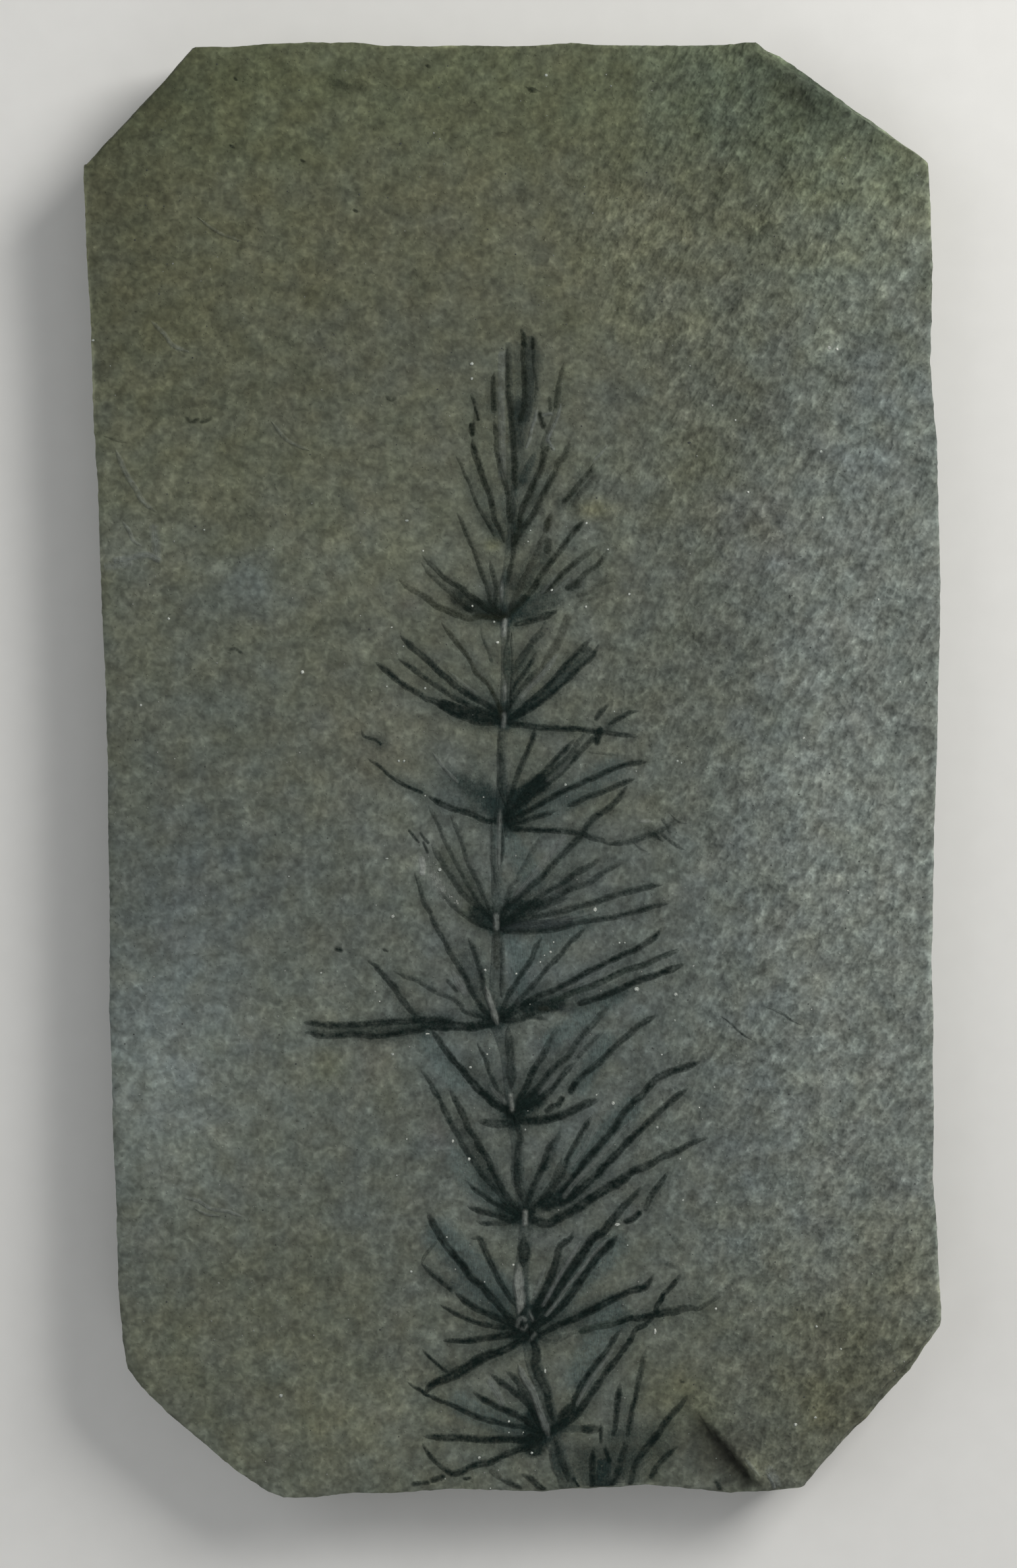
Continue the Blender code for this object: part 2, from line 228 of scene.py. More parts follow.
# centre x, y, radii, turn, then how much lighter and how much more olive, blue, pink
TONES = [
    (215, 110, 90, 60, 0, -0.16, 0.2, 0, 0), (215, 1660, 90, 150, 0, 0.09, 0, 0, 0), (280, 1740, 90, 110, 0, 0.1, 0, -0.1, 0),
    (430, 1560, 150, 46, 0, 0.07, 0, 0, 0), (1090, 480, 120, 70, 0, 0.11, 0, 0, 0), (950, 350, 90, 60, 0, 0.1, 0, 0, 0),
    (1314, 930, 70, 70, 0, 0.1, 0, 0, 0), (1320, 1720, 80, 190, 0, -0.09, 0, -0.1, 0), (1010, 1490, 70, 90, 0, 0.09, 0, 0, 0),
    (385, 870, 50, 40, 0, 0.02, -0.5, 0.5, 0), (350, 915, 70, 40, 0, 0, -0.4, 0.5, 0.1), (932, 1224, 40, 30, 0, 0.06, 0.35, 0, 0),
    (1402, 812, 26, 48, 0.1, 0.34, -0.1, 0.1, 0), (196, 838, 50, 44, -0.4, 0.12, -0.35, 0.15, 0.1), (745, 1890, 44, 34, 0, 0.1, 0.2, 0.1, 0),
    (950, 1935, 26, 20, 0, 0.14, 0.25, 0, 0), (678, 1612, 46, 42, 0, 0.1, -0.2, 0.6, 0), (500, 1612, 46, 30, 0, 0.04, 0.5, 0, 0),
    (580, 1640, 26, 44, 0, 0.06, 0.45, 0, 0), (618, 918, 22, 12, 0, 0.08, 0, 0, 0.8), (662, 1720, 16, 24, 0, 0.08, 0, 0, 0.7),
    (570, 1606, 34, 34, 0, 0.06, 0, 0, 0.6), (902, 772, 30, 16, 0, 0.08, 0.8, 0, 0), (748, 826, 12, 10, 0, 0.08, 0.8, 0, 0),
    (1035, 2120, 60, 60, 0, 0.02, 0.6, 0, 0), (780, 1460, 22, 44, 0, 0.16, -0.2, 0.6, 0), (1270, 2085, 90, 120, 0.5, -0.16, 0.3, -0.1, 0),
    (240, 1560, 110, 190, 0.2, 0.22, -0.55, 0.02, 0), (300, 1330, 150, 90, 0, -0.06, -0.3, 0.12, 0), (330, 1080, 90, 60, 0, -0.04, -0.1, 0.4, 0),
    (560, 1130, 70, 70, 0, 0.02, 0.2, 0, 0.5), (1140, 800, 70, 60, 0, -0.02, 0.1, 0, 0.5), (1050, 720, 60, 90, 0.6, -0.03, 0.5, 0, 0),
    (1330, 640, 110, 190, 0.3, 0.07, -0.2, 0.1, 0), (1300, 1010, 120, 170, 0, 0.06, -0.2, 0.1, 0), (260, 470, 90, 130, 0.3, -0.02, 0.4, 0, 0),
    (560, 390, 180, 90, 0, 0.02, 0.25, 0, 0.1), (520, 120, 46, 16, 0.1, -0.16, 0.2, 0, 0), (230, 300, 80, 60, -0.7, -0.05, 0.2, 0, 0),
    (1190, 200, 60, 40, 0.8, -0.04, 0.2, 0.1, 0), (1210, 150, 40, 16, 0.6, -0.12, 0.3, 0, 0), (1330, 330, 60, 80, 0.6, 0.03, 0, 0.1, 0),
    # on the next line, the darkening at 1102, 2204 is painted shade in the hollow under the scarp, and the lightening
    # at 1150, 2232 and 1235, 2150 is painted highlight on lit edges beside it
    (1102, 2204, 34, 40, 0.8, -0.34, 0.2, 0, 0.2), (1150, 2232, 26, 24, 0.3, 0.26, 0.3, 0, 0.2), (1235, 2150, 26, 18, 0.2, 0.22, 0.3, 0, 0.1),
    (1000, 2225, 60, 30, 0, -0.12, 0, 0.1, 0), (346, 2216, 22, 14, 0.7, 0.2, 0.1, 0, 0), (250, 2050, 70, 60, 0.5, 0.05, 0.2, 0, 0),
    (420, 1950, 130, 110, 0, -0.04, 0.4, 0, 0), (520, 2150, 120, 70, 0, 0.02, 0.3, 0, 0.1), (640, 1340, 30, 40, 0.2, 0.14, 0.1, 0.1, 0),
    (700, 1205, 60, 42, 0.2, -0.1, -0.2, 0.6, 0), (980, 1246, 16, 8, 0, 0.3, 0.1, 0, 0), (1390, 1560, 40, 120, 0, 0.05, 0, 0.1, 0),
    (1230, 1860, 90, 60, 0.2, 0.03, -0.1, 0.1, 0), (1160, 1420, 80, 60, 0.4, -0.05, 0.1, 0.1, 0.1), (1360, 1900, 60, 60, 0, -0.05, 0.3, 0, 0),
    (300, 1690, 190, 180, 0, 0.22, 0, 0, 0), (560, 2150, 120, 90, 0, 0.2, 0, 0, 0), (1245, 1260, 130, 160, 0, 0.14, 0, 0, 0),
    (950, 780, 220, 200, 0, 0.02, -0.45, 0.1, 0), (1160, 170, 190, 90, 0, -0.03, -0.25, 0.45, 0), (898, 1250, 50, 90, 0, -0.12, 0, 0, 0),
    (590, 850, 90, 60, 0, 0.12, 0, 0, 0), (590, 1280, 90, 80, 0, 0.16, 0, 0, 0), (500, 1500, 90, 70, 0, 0.14, 0, 0, 0),
    (165, 330, 70, 160, 0, -0.16, 0.1, 0, 0), (1235, 120, 90, 60, 0.6, -0.42, -0.1, 0.3, 0), (1060, 950, 50, 60, 0, -0.08, 0, 0, 0),
    # the darkening at 1110, 2200 on the next line is more painted shade in the hollow under the scarp
    (200, 1240, 90, 200, 0, -0.06, 0, 0, 0), (1110, 2200, 60, 60, 0, -0.1, 0, 0, 0), (860, 1500, 240, 420, 0, 0.02, -0.3, 0.2, 0),
    (250, 1640, 110, 130, 0, 0.16, 0, 0, 0), (190, 130, 110, 110, 0, -0.22, 0, 0, 0), (950, 350, 90, 60, 0, 0.12, 0, 0, 0),
    (980, 500, 90, 60, 0, 0.14, 0, 0, 0), (1020, 620, 60, 90, 0, 0.08, 0, 0, 0), (1330, 1790, 90, 90, 0, -0.12, 0, 0, 0),
    (1225, 1900, 70, 80, 0, -0.08, 0, 0, 0), (880, 180, 120, 60, 0, 0.03, 0.2, 0, 0), (700, 260, 90, 70, 0, -0.02, 0.1, 0, 0.1),
    (900, 420, 80, 110, 0.2, 0.03, 0.2, 0, 0),
]


def tone(x, y, d):
    """Broad multiplier of the stone's colour at each point, with painted light on the right part and painted shade and
    highlights about the scarp at the lower right.
    """
    x, y = x.astype(float), y.astype(float)
    side = ramp(950.0, 1330.0, x)
    wobble = 90.0 * wave(x / 210.0, y / 210.0, 41)
    high = y + 0.7 * wobble
    olive = 0.24 + 0.56 * ramp(1420.0, 700.0, high) + 0.36 * ramp(560.0, 130.0, high)
    olive = olive * (1.0 - 0.75 * side * ramp(180.0, 620.0, y)) - 0.40 * side * ramp(500.0, 900.0, y) * ramp(2000.0, 1700.0, y)
    olive = olive + 0.34 * ramp(1850.0, 2100.0, y + 0.6 * wobble) * (1.0 - 0.7 * mound(x, y, 850, 2100, 260, 260))
    light = 0.89 + 0.15 * ramp(520.0, 860.0, y)
    # painted light: the right part of the face, and lower down a broader band on the right, are made lighter for the
    # stronger light that falls there
    light = light + 0.36 * ramp(1090.0, 1270.0, x + 0.4 * wobble) * ramp(110.0, 330.0, y) * ramp(2080.0, 1740.0, y)
    light = light + 0.20 * ramp(960.0, 1150.0, x + 0.3 * wobble) * ramp(1060.0, 1210.0, y) * ramp(2120.0, 1880.0, y)
    blue = 0.10 * ramp(1000.0, 1400.0, y) * (1.0 - side)
    pink = np.zeros_like(x)
    for cx, cy, rx, ry, turn, dl, do, db, dp in TONES:
        m = mound(x, y, cx, cy, rx, ry, turn)
        light = light + dl * m
        olive = olive + do * m
        blue = blue + db * m
        pink = pink + dp * m
    # patches of slightly different hue, as in any split shale
    olive = olive + 0.24 * wave(x / 64.0, y / 52.0, 43) + 0.10 * wave(x / 24.0, y / 24.0, 45)
    pink = pink + 0.10 + 0.22 * wave(x / 58.0, y / 66.0, 47) + 0.10 * wave(x / 21.0, y / 26.0, 49)
    blue = blue + 0.13 * wave(x / 70.0, y / 50.0, 51)
    rough = roughness_of(x, y)
    light = light * (1.0 + 0.05 * wave(x / 85.0, y / 70.0, 53) + (0.045 + 0.05 * rough) * wave(x / 40.0, y / 34.0, 55)
                     + (0.04 + 0.07 * rough) * wave(x / 19.0, y / 17.0, 59))
    blue = blue * (1.0 - 0.75 * side)
    olive, blue, pink = (np.clip(c, -0.3, 1.2) for c in (olive, blue, pink))
    rgb = np.stack([light * (1.0 + 0.075 * olive - 0.06 * blue + 0.07 * pink),
                    light * (1.0 + 0.005 * olive + 0.01 * blue - 0.015 * pink),
                    light * (1.0 - 0.23 * olive + 0.07 * blue + 0.02 * pink)], 1)
    # greener towards the top, less blue along the right
    green, far = ramp(340.0, 120.0, y), ramp(1130.0, 1260.0, x) * ramp(650.0, 820.0, y)
    rgb = rgb * np.stack([1.0 - (0.055 + 0.05 * ramp(900.0, 1080.0, x)) * green + 0.03 * far
                          - 0.05 * mound(x, y, 1280, 300, 170, 190), np.ones_like(x),
                          1.0 - (0.08 - 0.05 * ramp(900.0, 1080.0, x)) * green - 0.05 * far
                          - 0.045 * ramp(560.0, 420.0, x) * ramp(850.0, 700.0, y)], 1)
    # beyond the oblique crease at the right the stone is paler
    off, t = line_side(x, y, (1238, 566), (1416, 384))
    off = off + 7.0 * wave(x / 38.0, y / 38.0, 15)
    fold = np.exp(-(off / 60.0) ** 2) * ramp(-.25, .2, t)
    rgb = rgb * (1.0 + fold * np.where(off > 0, 0.12, -0.14) * np.minimum(1.0, np.abs(off) / 5.0))[:, None]
    # painted shade in the hollow under the scarp at the lower right, darkest next to the scarp
    off, t = line_side(x, y, (1066, 2152), (1144, 2244))
    scarp_shade = ramp(4.0, -4.0, off) * (0.25 * np.exp(-np.clip(-off, 0, None) / 14.0) + 0.75 * np.exp(-(np.clip(-off, 0, None) / 44.0) ** 2))
    rgb = rgb * (1.0 - 0.86 * scarp_shade * ramp(-.35, .2, t) * ramp(1.2, .95, t))[:, None]
    # painted highlight along the raised upper edge of the scarp, towards its lower end
    rgb = rgb * (1.0 + 0.28 * np.exp(-((off - 7.0) / 7.0) ** 2) * ramp(.35, .7, t) * ramp(1.15, 1.0, t))[:, None]
    # worn rims are paler in places
    rim = np.exp(-(d / 3.6) ** 2) * (0.22 + 0.25 * wave(x / 42.0, y / 42.0, 57))
    rim = rim + np.exp(-(d / 4.5) ** 2) * 0.9 * ramp(180., 330., y) * ramp(720., 560., y) * ramp(160., 140., x)
    rim = rim + np.exp(-(d / 5.0) ** 2) * 0.8 * mound(x, y, 1196, 88, 30, 16, .6)
    rim = rim + np.exp(-(d / 4.0) ** 2) * 0.6 * mound(x, y, 1348, 200, 24, 16, .6)
    rim = rim + np.exp(-(d / 5.0) ** 2) * 0.8 * mound(x, y, 1408, 250, 12, 22)
    rim = rim + np.exp(-(d / 5.0) ** 2) * 0.7 * ramp(1880., 1930., y) * ramp(1400., 1412., x)
    rim = rim + np.exp(-(d / 5.0) ** 2) * 1.0 * mound(x, y, 681, 70, 14, 8)
    # the sawn facet at the upper right is paler than the face
    off, t = line_side(x, y, (1161, 70), (1408, 240))
    wide = np.interp(t, (0.0, 0.5, 1.0), (15.0, 8.0, 5.0))
    rim = rim + 0.45 * ramp(1.15 * wide, 0.7 * wide, np.clip(-off, 0.0, None)) * ramp(-.06, .02, t) * ramp(1.06, .98, t) * (d < 29.0)
    rgb = rgb * (1.0 + np.clip(rim, -0.1, 1.3))[:, None]
    return np.clip(rgb, 0.1, 4.0)


# ------------------------------------------------------------------ blades and marks
HUES = {
    "carbon": (0.0040, 0.0086, 0.0074),
    "olive": (0.0110, 0.0135, 0.0080),
    "brown": (0.0165, 0.0185, 0.0140),
    "teal": (0.0130, 0.0230, 0.0220),
    "blue": (0.0100, 0.0190, 0.0180),
    "haze": (0.0100, 0.0185, 0.0170),
    "purple": (0.0200, 0.0255, 0.0265),
    "green": (0.0150, 0.0230, 0.0185),
    "grey": (0.0210, 0.0270, 0.0240),
    "stem": (0.0200, 0.0290, 0.0272),
    "pale": (0.1200, 0.1330, 0.1240),
    "pink": (0.1180, 0.1270, 0.1240),
    "white": (0.2100, 0.2250, 0.2080),
    "mist": (0.0740, 0.1000, 0.0960),
    "umber": (0.0480, 0.0540, 0.0350),
}
# group, hue, strength (start to end), width (start to end), points, and softness of the edge.
# In each group the wide soft stains come first and the fine light lines last.
STROKES = [
    # ---- thin grey-teal film between the blades
    ("mist", "mist", .60, 34, "766,1272 790,1300 808,1336", 9), ("mist", "mist", .66, 20, "776,1430 786,1465 790,1498", 8),
    ("mist", "mist", .66, 28, "836,1578 880,1548 934,1512", 9), ("mist", "mist", .66, 24, "884,1648 900,1612 920,1578", 8),
    ("mist", "mist", .60, 28, "650,1582 672,1612 694,1644", 9), ("mist", "mist", .66, 34, "876,1764 915,1724 958,1682", 10),
    ("mist", "pale", .22, 20, "700,1478 722,1500 738,1520", 8), ("mist", "umber", .35, 54, "672,1318 700,1350 728,1386", 14),
    ("mist", "haze", .42, 26, "704,1188 728,1200 750,1212", 9), ("mist", "mist", .60, 40, "838,1980 880,1940 930,1890", 12),
    ("mist", "haze", .35, 30, "846,2010 884,1996 930,1978", 10), ("mist", "mist", .66, 46, "668,1876 712,1918 758,1968", 13),
    ("mist", "mist", .60, 40, "930,1990 905,2040 880,2090", 13), ("mist", "haze", .38, 56, "905,2225 950,2205 1000,2180", 18),
    ("mist", "mist", .54, 34, "800,1450 840,1425 880,1400", 11), ("mist", "mist", .54, 34, "696,1760 724,1800 756,1826", 11),
    ("mist", "mist", .54, 36, "700,2130 740,2150 790,2164", 12), ("mist", "mist", .48, 34, "830,1230 880,1200 930,1165", 12),
    ("mist", "mist", .48, 30, "700,1950 730,1975 760,1994", 9),
    # ---- stem
    ("stem", "stem", (.25, .30, .36), (9, 12, 14), "780,740 773,833 766,890 766,945", 3),
    ("stem", "stem", (.40, .42), (15, 17), "766,930 768,1000 767,1060 765,1092 762,1140 763,1200", 3),
    ("stem", "stem", (.42, .46), (17, 18), "763,1185 758,1240 755,1290 754,1344 756,1402 754,1450 750,1520 752,1552", 3),
    ("stem", "stem", (.46, .44), (18, 20), "751,1535 752,1552 768,1600 775,1660 778,1700 786,1740 785,1790", 3),
    ("stem", "stem", (.42, .44), (20, 24), "785,1775 797,1830 799,1850 796,1900 789,1950 797,2005 803,2030", 3),
    ("stem", "stem", (.50, .50), (24, 27), "800,2015 803,2030 812,2075 825,2110 833,2150 838,2175 848,2210 858,2240 864,2259", 3),
    ("stem", "carbon", .9, 8, "776,845 777,855 774,867 770,885"),
    ("stem", "carbon", .45, (7, 9, 7), "780,752 781,775 780,800 779,830 778,850"),
    ("stem", "teal", .6, (6, 8), "768,860 764,885 764,925"),
    ("stem", "carbon", .7, 6, "771,952 772,965 771,976"),
    ("stem", "green", .6, 12, "770,974 770,1000 770,1038"),
    ("stem", "carbon", .4, 4, "777,960 778,1000 777,1040 775,1075"),
    ("stem", "carbon", .75, 8, "759,1110 760,1140 762,1164 759,1185 763,1206 768,1224"),
    ("stem", "blue", .5, 16, "774,1198 775,1230 772,1262", 3),
    ("stem", "carbon", .6, 5, "747,1246 748,1272 747,1296 750,1320 753,1346"),
    ("stem", "carbon", .8, 5, "763,1258 763,1290 759,1316"),
    ("stem", "pale", .7, 5, "759,1228 757,1270 757,1322"),
    ("stem", "carbon", .95, 8, "761,1378 762,1395 761,1414"),
    ("stem", "brown", .5, 11, "754,1413 753,1440 754,1467", 3),
    ("stem", "carbon", .8, 6, "762,1425 763,1455 762,1485 762,1512"),
    ("stem", "carbon", .75, 13, "772,1560 774,1590 776,1620 776,1652", 2.5),
    ("stem", "carbon", .85, (8, 10), "780,1692 785,1708 790,1722 787,1740 785,1760 785,1780 786,1797 790,1810 795,1824"),
    ("stem", "carbon", .95, 17, "795,1878 796,1900 794,1923", 1.6),
    ("stem", "teal", .6, 14, "799,1922 796,1950 800,1985", 2.5),
    ("stem", "carbon", .95, (10, 14, 8), "805,2014 810,2035 814,2052 812,2070 817,2085 825,2100 830,2112 832,2127 835,2140 840,2157"),
    ("stem", "teal", .6, 16, "842,2188 844,2215 848,2240", 2.5),
    ("stem", "carbon", .9, 9, "842,2178 847,2202 852,2220 860,2235 862,2248"),
    ("stem", "white", .75, 4, "761,882 761,898 761,913"),
    ("stem", "white", .8, 6, "766,943 765,952 765,963"),
    ("stem", "white", .7, 4, "767,1033 766,1048 766,1064"),
    ("stem", "pale", .8, 5, "765,1084 765,1092 764,1102"),
    ("stem", "pale", .9, 7, "753,1390 753,1398 753,1408"),
    ("stem", "white", .75, 7, "737,1498 744,1520 749,1535 755,1554"),
    ("stem", "white", .7, 5, "775,1662 776,1672 777,1684"),
    ("stem", "white", .7, 6, "797,1840 797,1847 797,1857"),
    ("stem", "white", .75, (14, 11), "787,1922 787,1950 790,1975 787,1992", 2.5),
    ("stem", "pale", .60, 5, "785,2012 787,2004 792,2000 797,2003"), ("stem", "pale", .50, 4, "799,2012 796,2018 791,2017"),
    ("stem", "pale", .50, 4, "803,1992 808,2003"), ("stem", "pale", .45, 4, "812,2024 806,2032"),
    ("stem", "pale", .85, (8, 10), "787,2072 795,2090 805,2105 812,2120 817,2135 822,2150 827,2162 832,2179", 2),
    # ---- top tuft
    ("tuft", "grey", .45, 22, "808,522 807,560 806,600 800,625", 5),
    ("tuft", "grey", .35, 18, "788,528 788,570 788,632", 5),
    ("tuft", "grey", (.5, .62, .5), (12, 15, 12), "803,514 804,560 803,606 799,636", 3),
    ("tuft", "grey", (.4, .55, .45), (11, 13, 12), "772,524 772,565 774,610 778,650", 3),
    ("tuft", "grey", .6, 24, "790,618 788,645 785,672", 5),
    ("tuft", "pale", .35, 11, "762,538 761,580 761,640 762,722", 3),
    ("tuft", "teal", .7, 12, "812,688 802,710 794,729", 2.5),
    ("tuft", "carbon", (.7, .9), 5, "692,692 700,705 705,720 712,732 717,747 724,765 732,780 742,797 750,812"),
    ("tuft", "carbon", .5, 5, "716,601 718,606 720,611"),
    ("tuft", "carbon", .42, 5, "718,604 722,622 720,642 717,664"),
    ("tuft", "carbon", .45, 5.5, "795,506 796,528 796,548"), ("tuft", "carbon", .45, 5.5, "809,513 810,530 811,548"),
    ("tuft", "carbon", .5, 6, "825,646 834,660 836,676"), ("tuft", "carbon", .45, 5.5, "844,615 838,640 828,662 822,680"),
    ("tuft", "carbon", .95, 4, "721,619 724,628 726,637"),
    ("tuft", "carbon", .95, 8, "716,645 716,651 717,658"),
    ("tuft", "carbon", (.97, .97, .9, .8), (9, 9, 8, 6), "717,668 721,687 726,702 732,720 737,735 744,750 747,765 749,775 752,790 760,805 765,820"),
    ("tuft", "carbon", .95, 7, "750,566 749,580 749,600 750,622"),
    ("tuft", "carbon", .9, 7, "750,638 754,660 754,675 756,692 760,710 764,725 769,740 772,752 772,767 774,792"),
    ("tuft", "carbon", (.85, .85, .95, .95), (6, 7, 8, 8), "771,528 770,545 771,560 771,580 772,600 776,620 777,640 779,660 780,680 781,700 781,720 782,739"),
    ("tuft", "carbon", .5, 5, "792,500 793,507"),
    ("tuft", "carbon", .95, 8, "795,512 795,517 795,523"),
    ("tuft", "carbon", .9, 8, "792,529 795,550 796,567 797,585 797,605 795,620 790,637"),
    ("tuft", "carbon", .97, 5, "809,515 809,521 809,528"),
    ("tuft", "carbon", .5, 5, "810,540 812,562 815,585 812,607"),
    ("tuft", "carbon", (.5, .8, .8), 6, "857,550 849,580 846,600 844,617"),
    ("tuft", "carbon", .6, 5, "834,605 835,613 835,622"),
    ("tuft", "carbon", .85, 7, "819,628 822,637 825,647"),
    ("tuft", "carbon", .95, (8, 9, 8), "837,676 827,685 824,700 820,715 812,730 805,747 800,757 794,770 790,785 787,802"),
    ("tuft", "carbon", (.5, .9, .9, .9), 8, "866,669 857,692 847,702 845,712 837,727 829,742 820,760 812,777 802,792 790,807 780,827"),
    ("tuft", "carbon", .85, 6, "901,704 895,715 885,727 875,740 865,751 856,761"),
    ("tuft", "brown", .5, 7, "905,719 892,737 880,750 871,766"),
    ("tuft", "carbon", .8, 8, "780,812 780,830 779,849"),
    ("tuft", "pale", .5, 4, "922,676 912,688 901,700"),
    ("tuft", "pale", .7, 4.5, "815,618 812,635 807,650 804,665 799,679"),
    ("tuft", "pale", .7, 4.5, "851,613 847,630 841,645 835,657 831,669"),
    ("tuft", "pale", .6, 4, "831,667 835,674 840,682"),
    ("tuft", "pale", .6, 4, "825,630 831,628 837,628"),
    # ---- third whorl
    ("whorl_03", "brown", .7, 26, "694,908 712,918 738,926", 6),
    ("whorl_03", "blue", (.66, .62, .46), (26, 36, 24), "772,932 804,921 842,910", 7),
    ("whorl_03", "brown", .5, 26, "776,886 790,885 803,884", 6),
    ("whorl_03", "grey", .4, 30, "780,880 800,862 822,838", 7),
    ("whorl_03", "carbon", .85, 6, "694,779 700,790 707,807 712,820 720,837 725,852 730,867 736,882 742,900 746,917"),
    ("whorl_03", "carbon", .8, 7, "744,851 747,865 751,880 754,895 752,920 755,927"),
    ("whorl_03", "carbon", .5, 6, "640,854 652,870 667,885 682,897 695,910 706,918"),
    ("whorl_03", "carbon", (.6, .9, .95), (6, 9, 12), "642,844 655,857 665,867 674,876 687,885 700,892 710,902 722,910 735,920 745,926 757,933"),
    ("whorl_03", "carbon", .9, 7, "706,922 710,924 715,926"),
    ("whorl_03", "olive", (.5, .85, .85), (8, 9, 7), "606,879 617,889 627,895 640,902 652,911 662,919 675,925 687,930 700,935 715,939 730,935 756,939"),
    ("whorl_03", "olive", .9, 10, "838,779 832,792 829,803"),
    ("whorl_03", "brown", .6, 8, "826,809 820,825 815,840 807,855 800,870 791,887"),
    ("whorl_03", "carbon", .6, 12, "832,822 832,828 831,835", 3),
    ("whorl_03", "carbon", .95, 8, "886,789 877,800 867,812 857,826 847,840 837,852 827,865 817,880 809,894"),
    ("whorl_03", "carbon", (.6, .95, .95), 7.5, "906,829 895,837 882,847 870,857 857,867 845,880 835,890 824,898"),
    ("whorl_03", "carbon", (.85, .7), 6.5, "922,836 915,847 905,859 892,867 882,877 870,887 861,893"),
    ("whorl_03", "carbon", .6, 9, "862,892 870,892 877,888", 3),
    ("whorl_03", "brown", .45, 7, "931,881 912,885 900,895 879,903"),
    ("whorl_03", "brown", .5, 6, "901,906 887,912 874,921"),
    ("whorl_03", "carbon", .95, (10, 6), "846,926 835,932 822,937 810,941 795,945 783,948"),
    ("whorl_03", "pale", .4, 4, "846,870 832,888 822,900"),
    ("whorl_03", "pale", .35, 4, "868,874 850,890 838,900"),
    # ---- fourth whorl
    ("whorl_04", "carbon", .9, 17, "672,1069 692,1076 710,1082 730,1087 754,1090", 3),
    ("whorl_04", "blue", (.5, .6, .7, .85), (16, 20, 18, 8), "893,990 870,1010 840,1040 810,1066 786,1085", 3),
    ("whorl_04", "grey", .35, 26, "782,1040 792,1020 806,992", 7),
    ("whorl_04", "brown", .5, 12, "861,938 855,955 847,975 837,990 827,1007 820,1022 804,1041", 3),
    ("whorl_04", "carbon", .6, 10, "828,944 822,960 810,972 800,987 790,1002 779,1018", 2.5),
    ("whorl_04", "carbon", .9, 8, "571,1006 592,1022 605,1034 620,1044 635,1052 647,1060 660,1064 672,1072 687,1082 705,1090 722,1096 740,1097 757,1095"),
    ("whorl_04", "carbon", .85, 7, "606,1001 620,1010 632,1019 647,1030 660,1039 672,1047 687,1057 702,1065 717,1072 735,1080 754,1086"),
    ("whorl_04", "carbon", .95, 9, "609,966 620,977 630,986 642,996 655,1007 667,1020 680,1030 692,1041 705,1050 720,1059 735,1067 747,1075 757,1081"),
    ("whorl_04", "olive", .85, 6, "671,946 679,957 687,967 697,980 707,992 715,1005 722,1020 732,1030 740,1037 750,1055 756,1067"),
    ("whorl_04", "carbon", .5, 5, "730,951 735,972 742,990 746,1004"),
    ("whorl_04", "carbon", .85, 6, "813,991 805,1007 797,1020 787,1032 779,1046"),
    ("whorl_04", "carbon", .7, 6, "816,1014 802,1032 790,1047 781,1061"),
    ("whorl_04", "carbon", .92, 6, "897,969 887,980 875,992 862,1005 850,1020 837,1035 825,1047 810,1060 795,1072 784,1083"),
    ("whorl_04", "carbon", .92, 6, "908,979 900,995 890,1005 877,1016 865,1029 850,1042 835,1055 820,1066 805,1076 786,1086"),
    ("whorl_04", "carbon", .95, (8, 7, 6), "768,1096 782,1099 800,1101 817,1104 835,1105 855,1106 875,1106 895,1109 915,1111 935,1114 955,1116 967,1118"),
    ("whorl_04", "pale", .5, 7, "846,994 832,1012 820,1027 805,1042 791,1058", 2.5),
    ("whorl_04", "pale", .3, 4, "720,1050 700,1036 682,1020"),
    # ---- fifth whorl
    ("whorl_05", "blue", (.25, .4, .55), (60, 50, 30), "700,1195 720,1208 746,1218", 14),
    ("whorl_05", "teal", (.20, .62), (16, 26), "676,1168 705,1192 730,1212 752,1234", 7),
    ("whorl_05", "teal", (.15, .60), (12, 22), "716,1150 734,1186 752,1224", 6),
    ("whorl_05", "carbon", .8, 28, "786,1212 800,1202 820,1190", 6),
    ("whorl_05", "carbon", .8, 8, "923,1069 912,1080 905,1091"),
    ("whorl_05", "carbon", .8, 6, "969,1079 955,1082 942,1089 926,1098"),
    ("whorl_05", "carbon", .85, 4.5, "548,1107 552,1117 560,1120 570,1123 578,1130"),
    ("whorl_05", "carbon", .85, 5, "558,1151 577,1164 591,1177 604,1186 621,1195 640,1203"),
    ("whorl_05", "carbon", .9, 8, "651,1209 669,1219 687,1227 702,1231 720,1237 738,1245"),
    ("whorl_05", "carbon", .85, 7, "813,1103 807,1125 798,1146 789,1167 781,1190"),
    ("whorl_05", "carbon", .9, 7, "870,1124 858,1137 845,1150 830,1167 816,1180 803,1195 790,1210"),
    ("whorl_05", "carbon", .7, 6, "888,1112 876,1129 867,1144 851,1159 836,1173 819,1188 803,1204"),
    ("whorl_05", "carbon", .8, 7, "909,1109 899,1122 881,1140 869,1155 854,1170 839,1183 824,1195 805,1210"),
    ("whorl_05", "carbon", .85, 9, "911,1107 909,1116 906,1126"),
    ("whorl_05", "carbon", .95, 7.5, "980,1156 956,1159 938,1164 923,1170 908,1177 893,1183 878,1191 860,1198 845,1206 827,1216 812,1225 797,1233 788,1237"),
    ("whorl_05", "carbon", .9, 7, "962,1182 944,1189 926,1197 908,1204 890,1210 875,1218 864,1222"),
    ("whorl_05", "carbon", .85, 7, "844,1230 824,1237 806,1242 790,1247"),
    ("whorl_05", "carbon", .35, 4, "895,1141 915,1143 939,1146"),
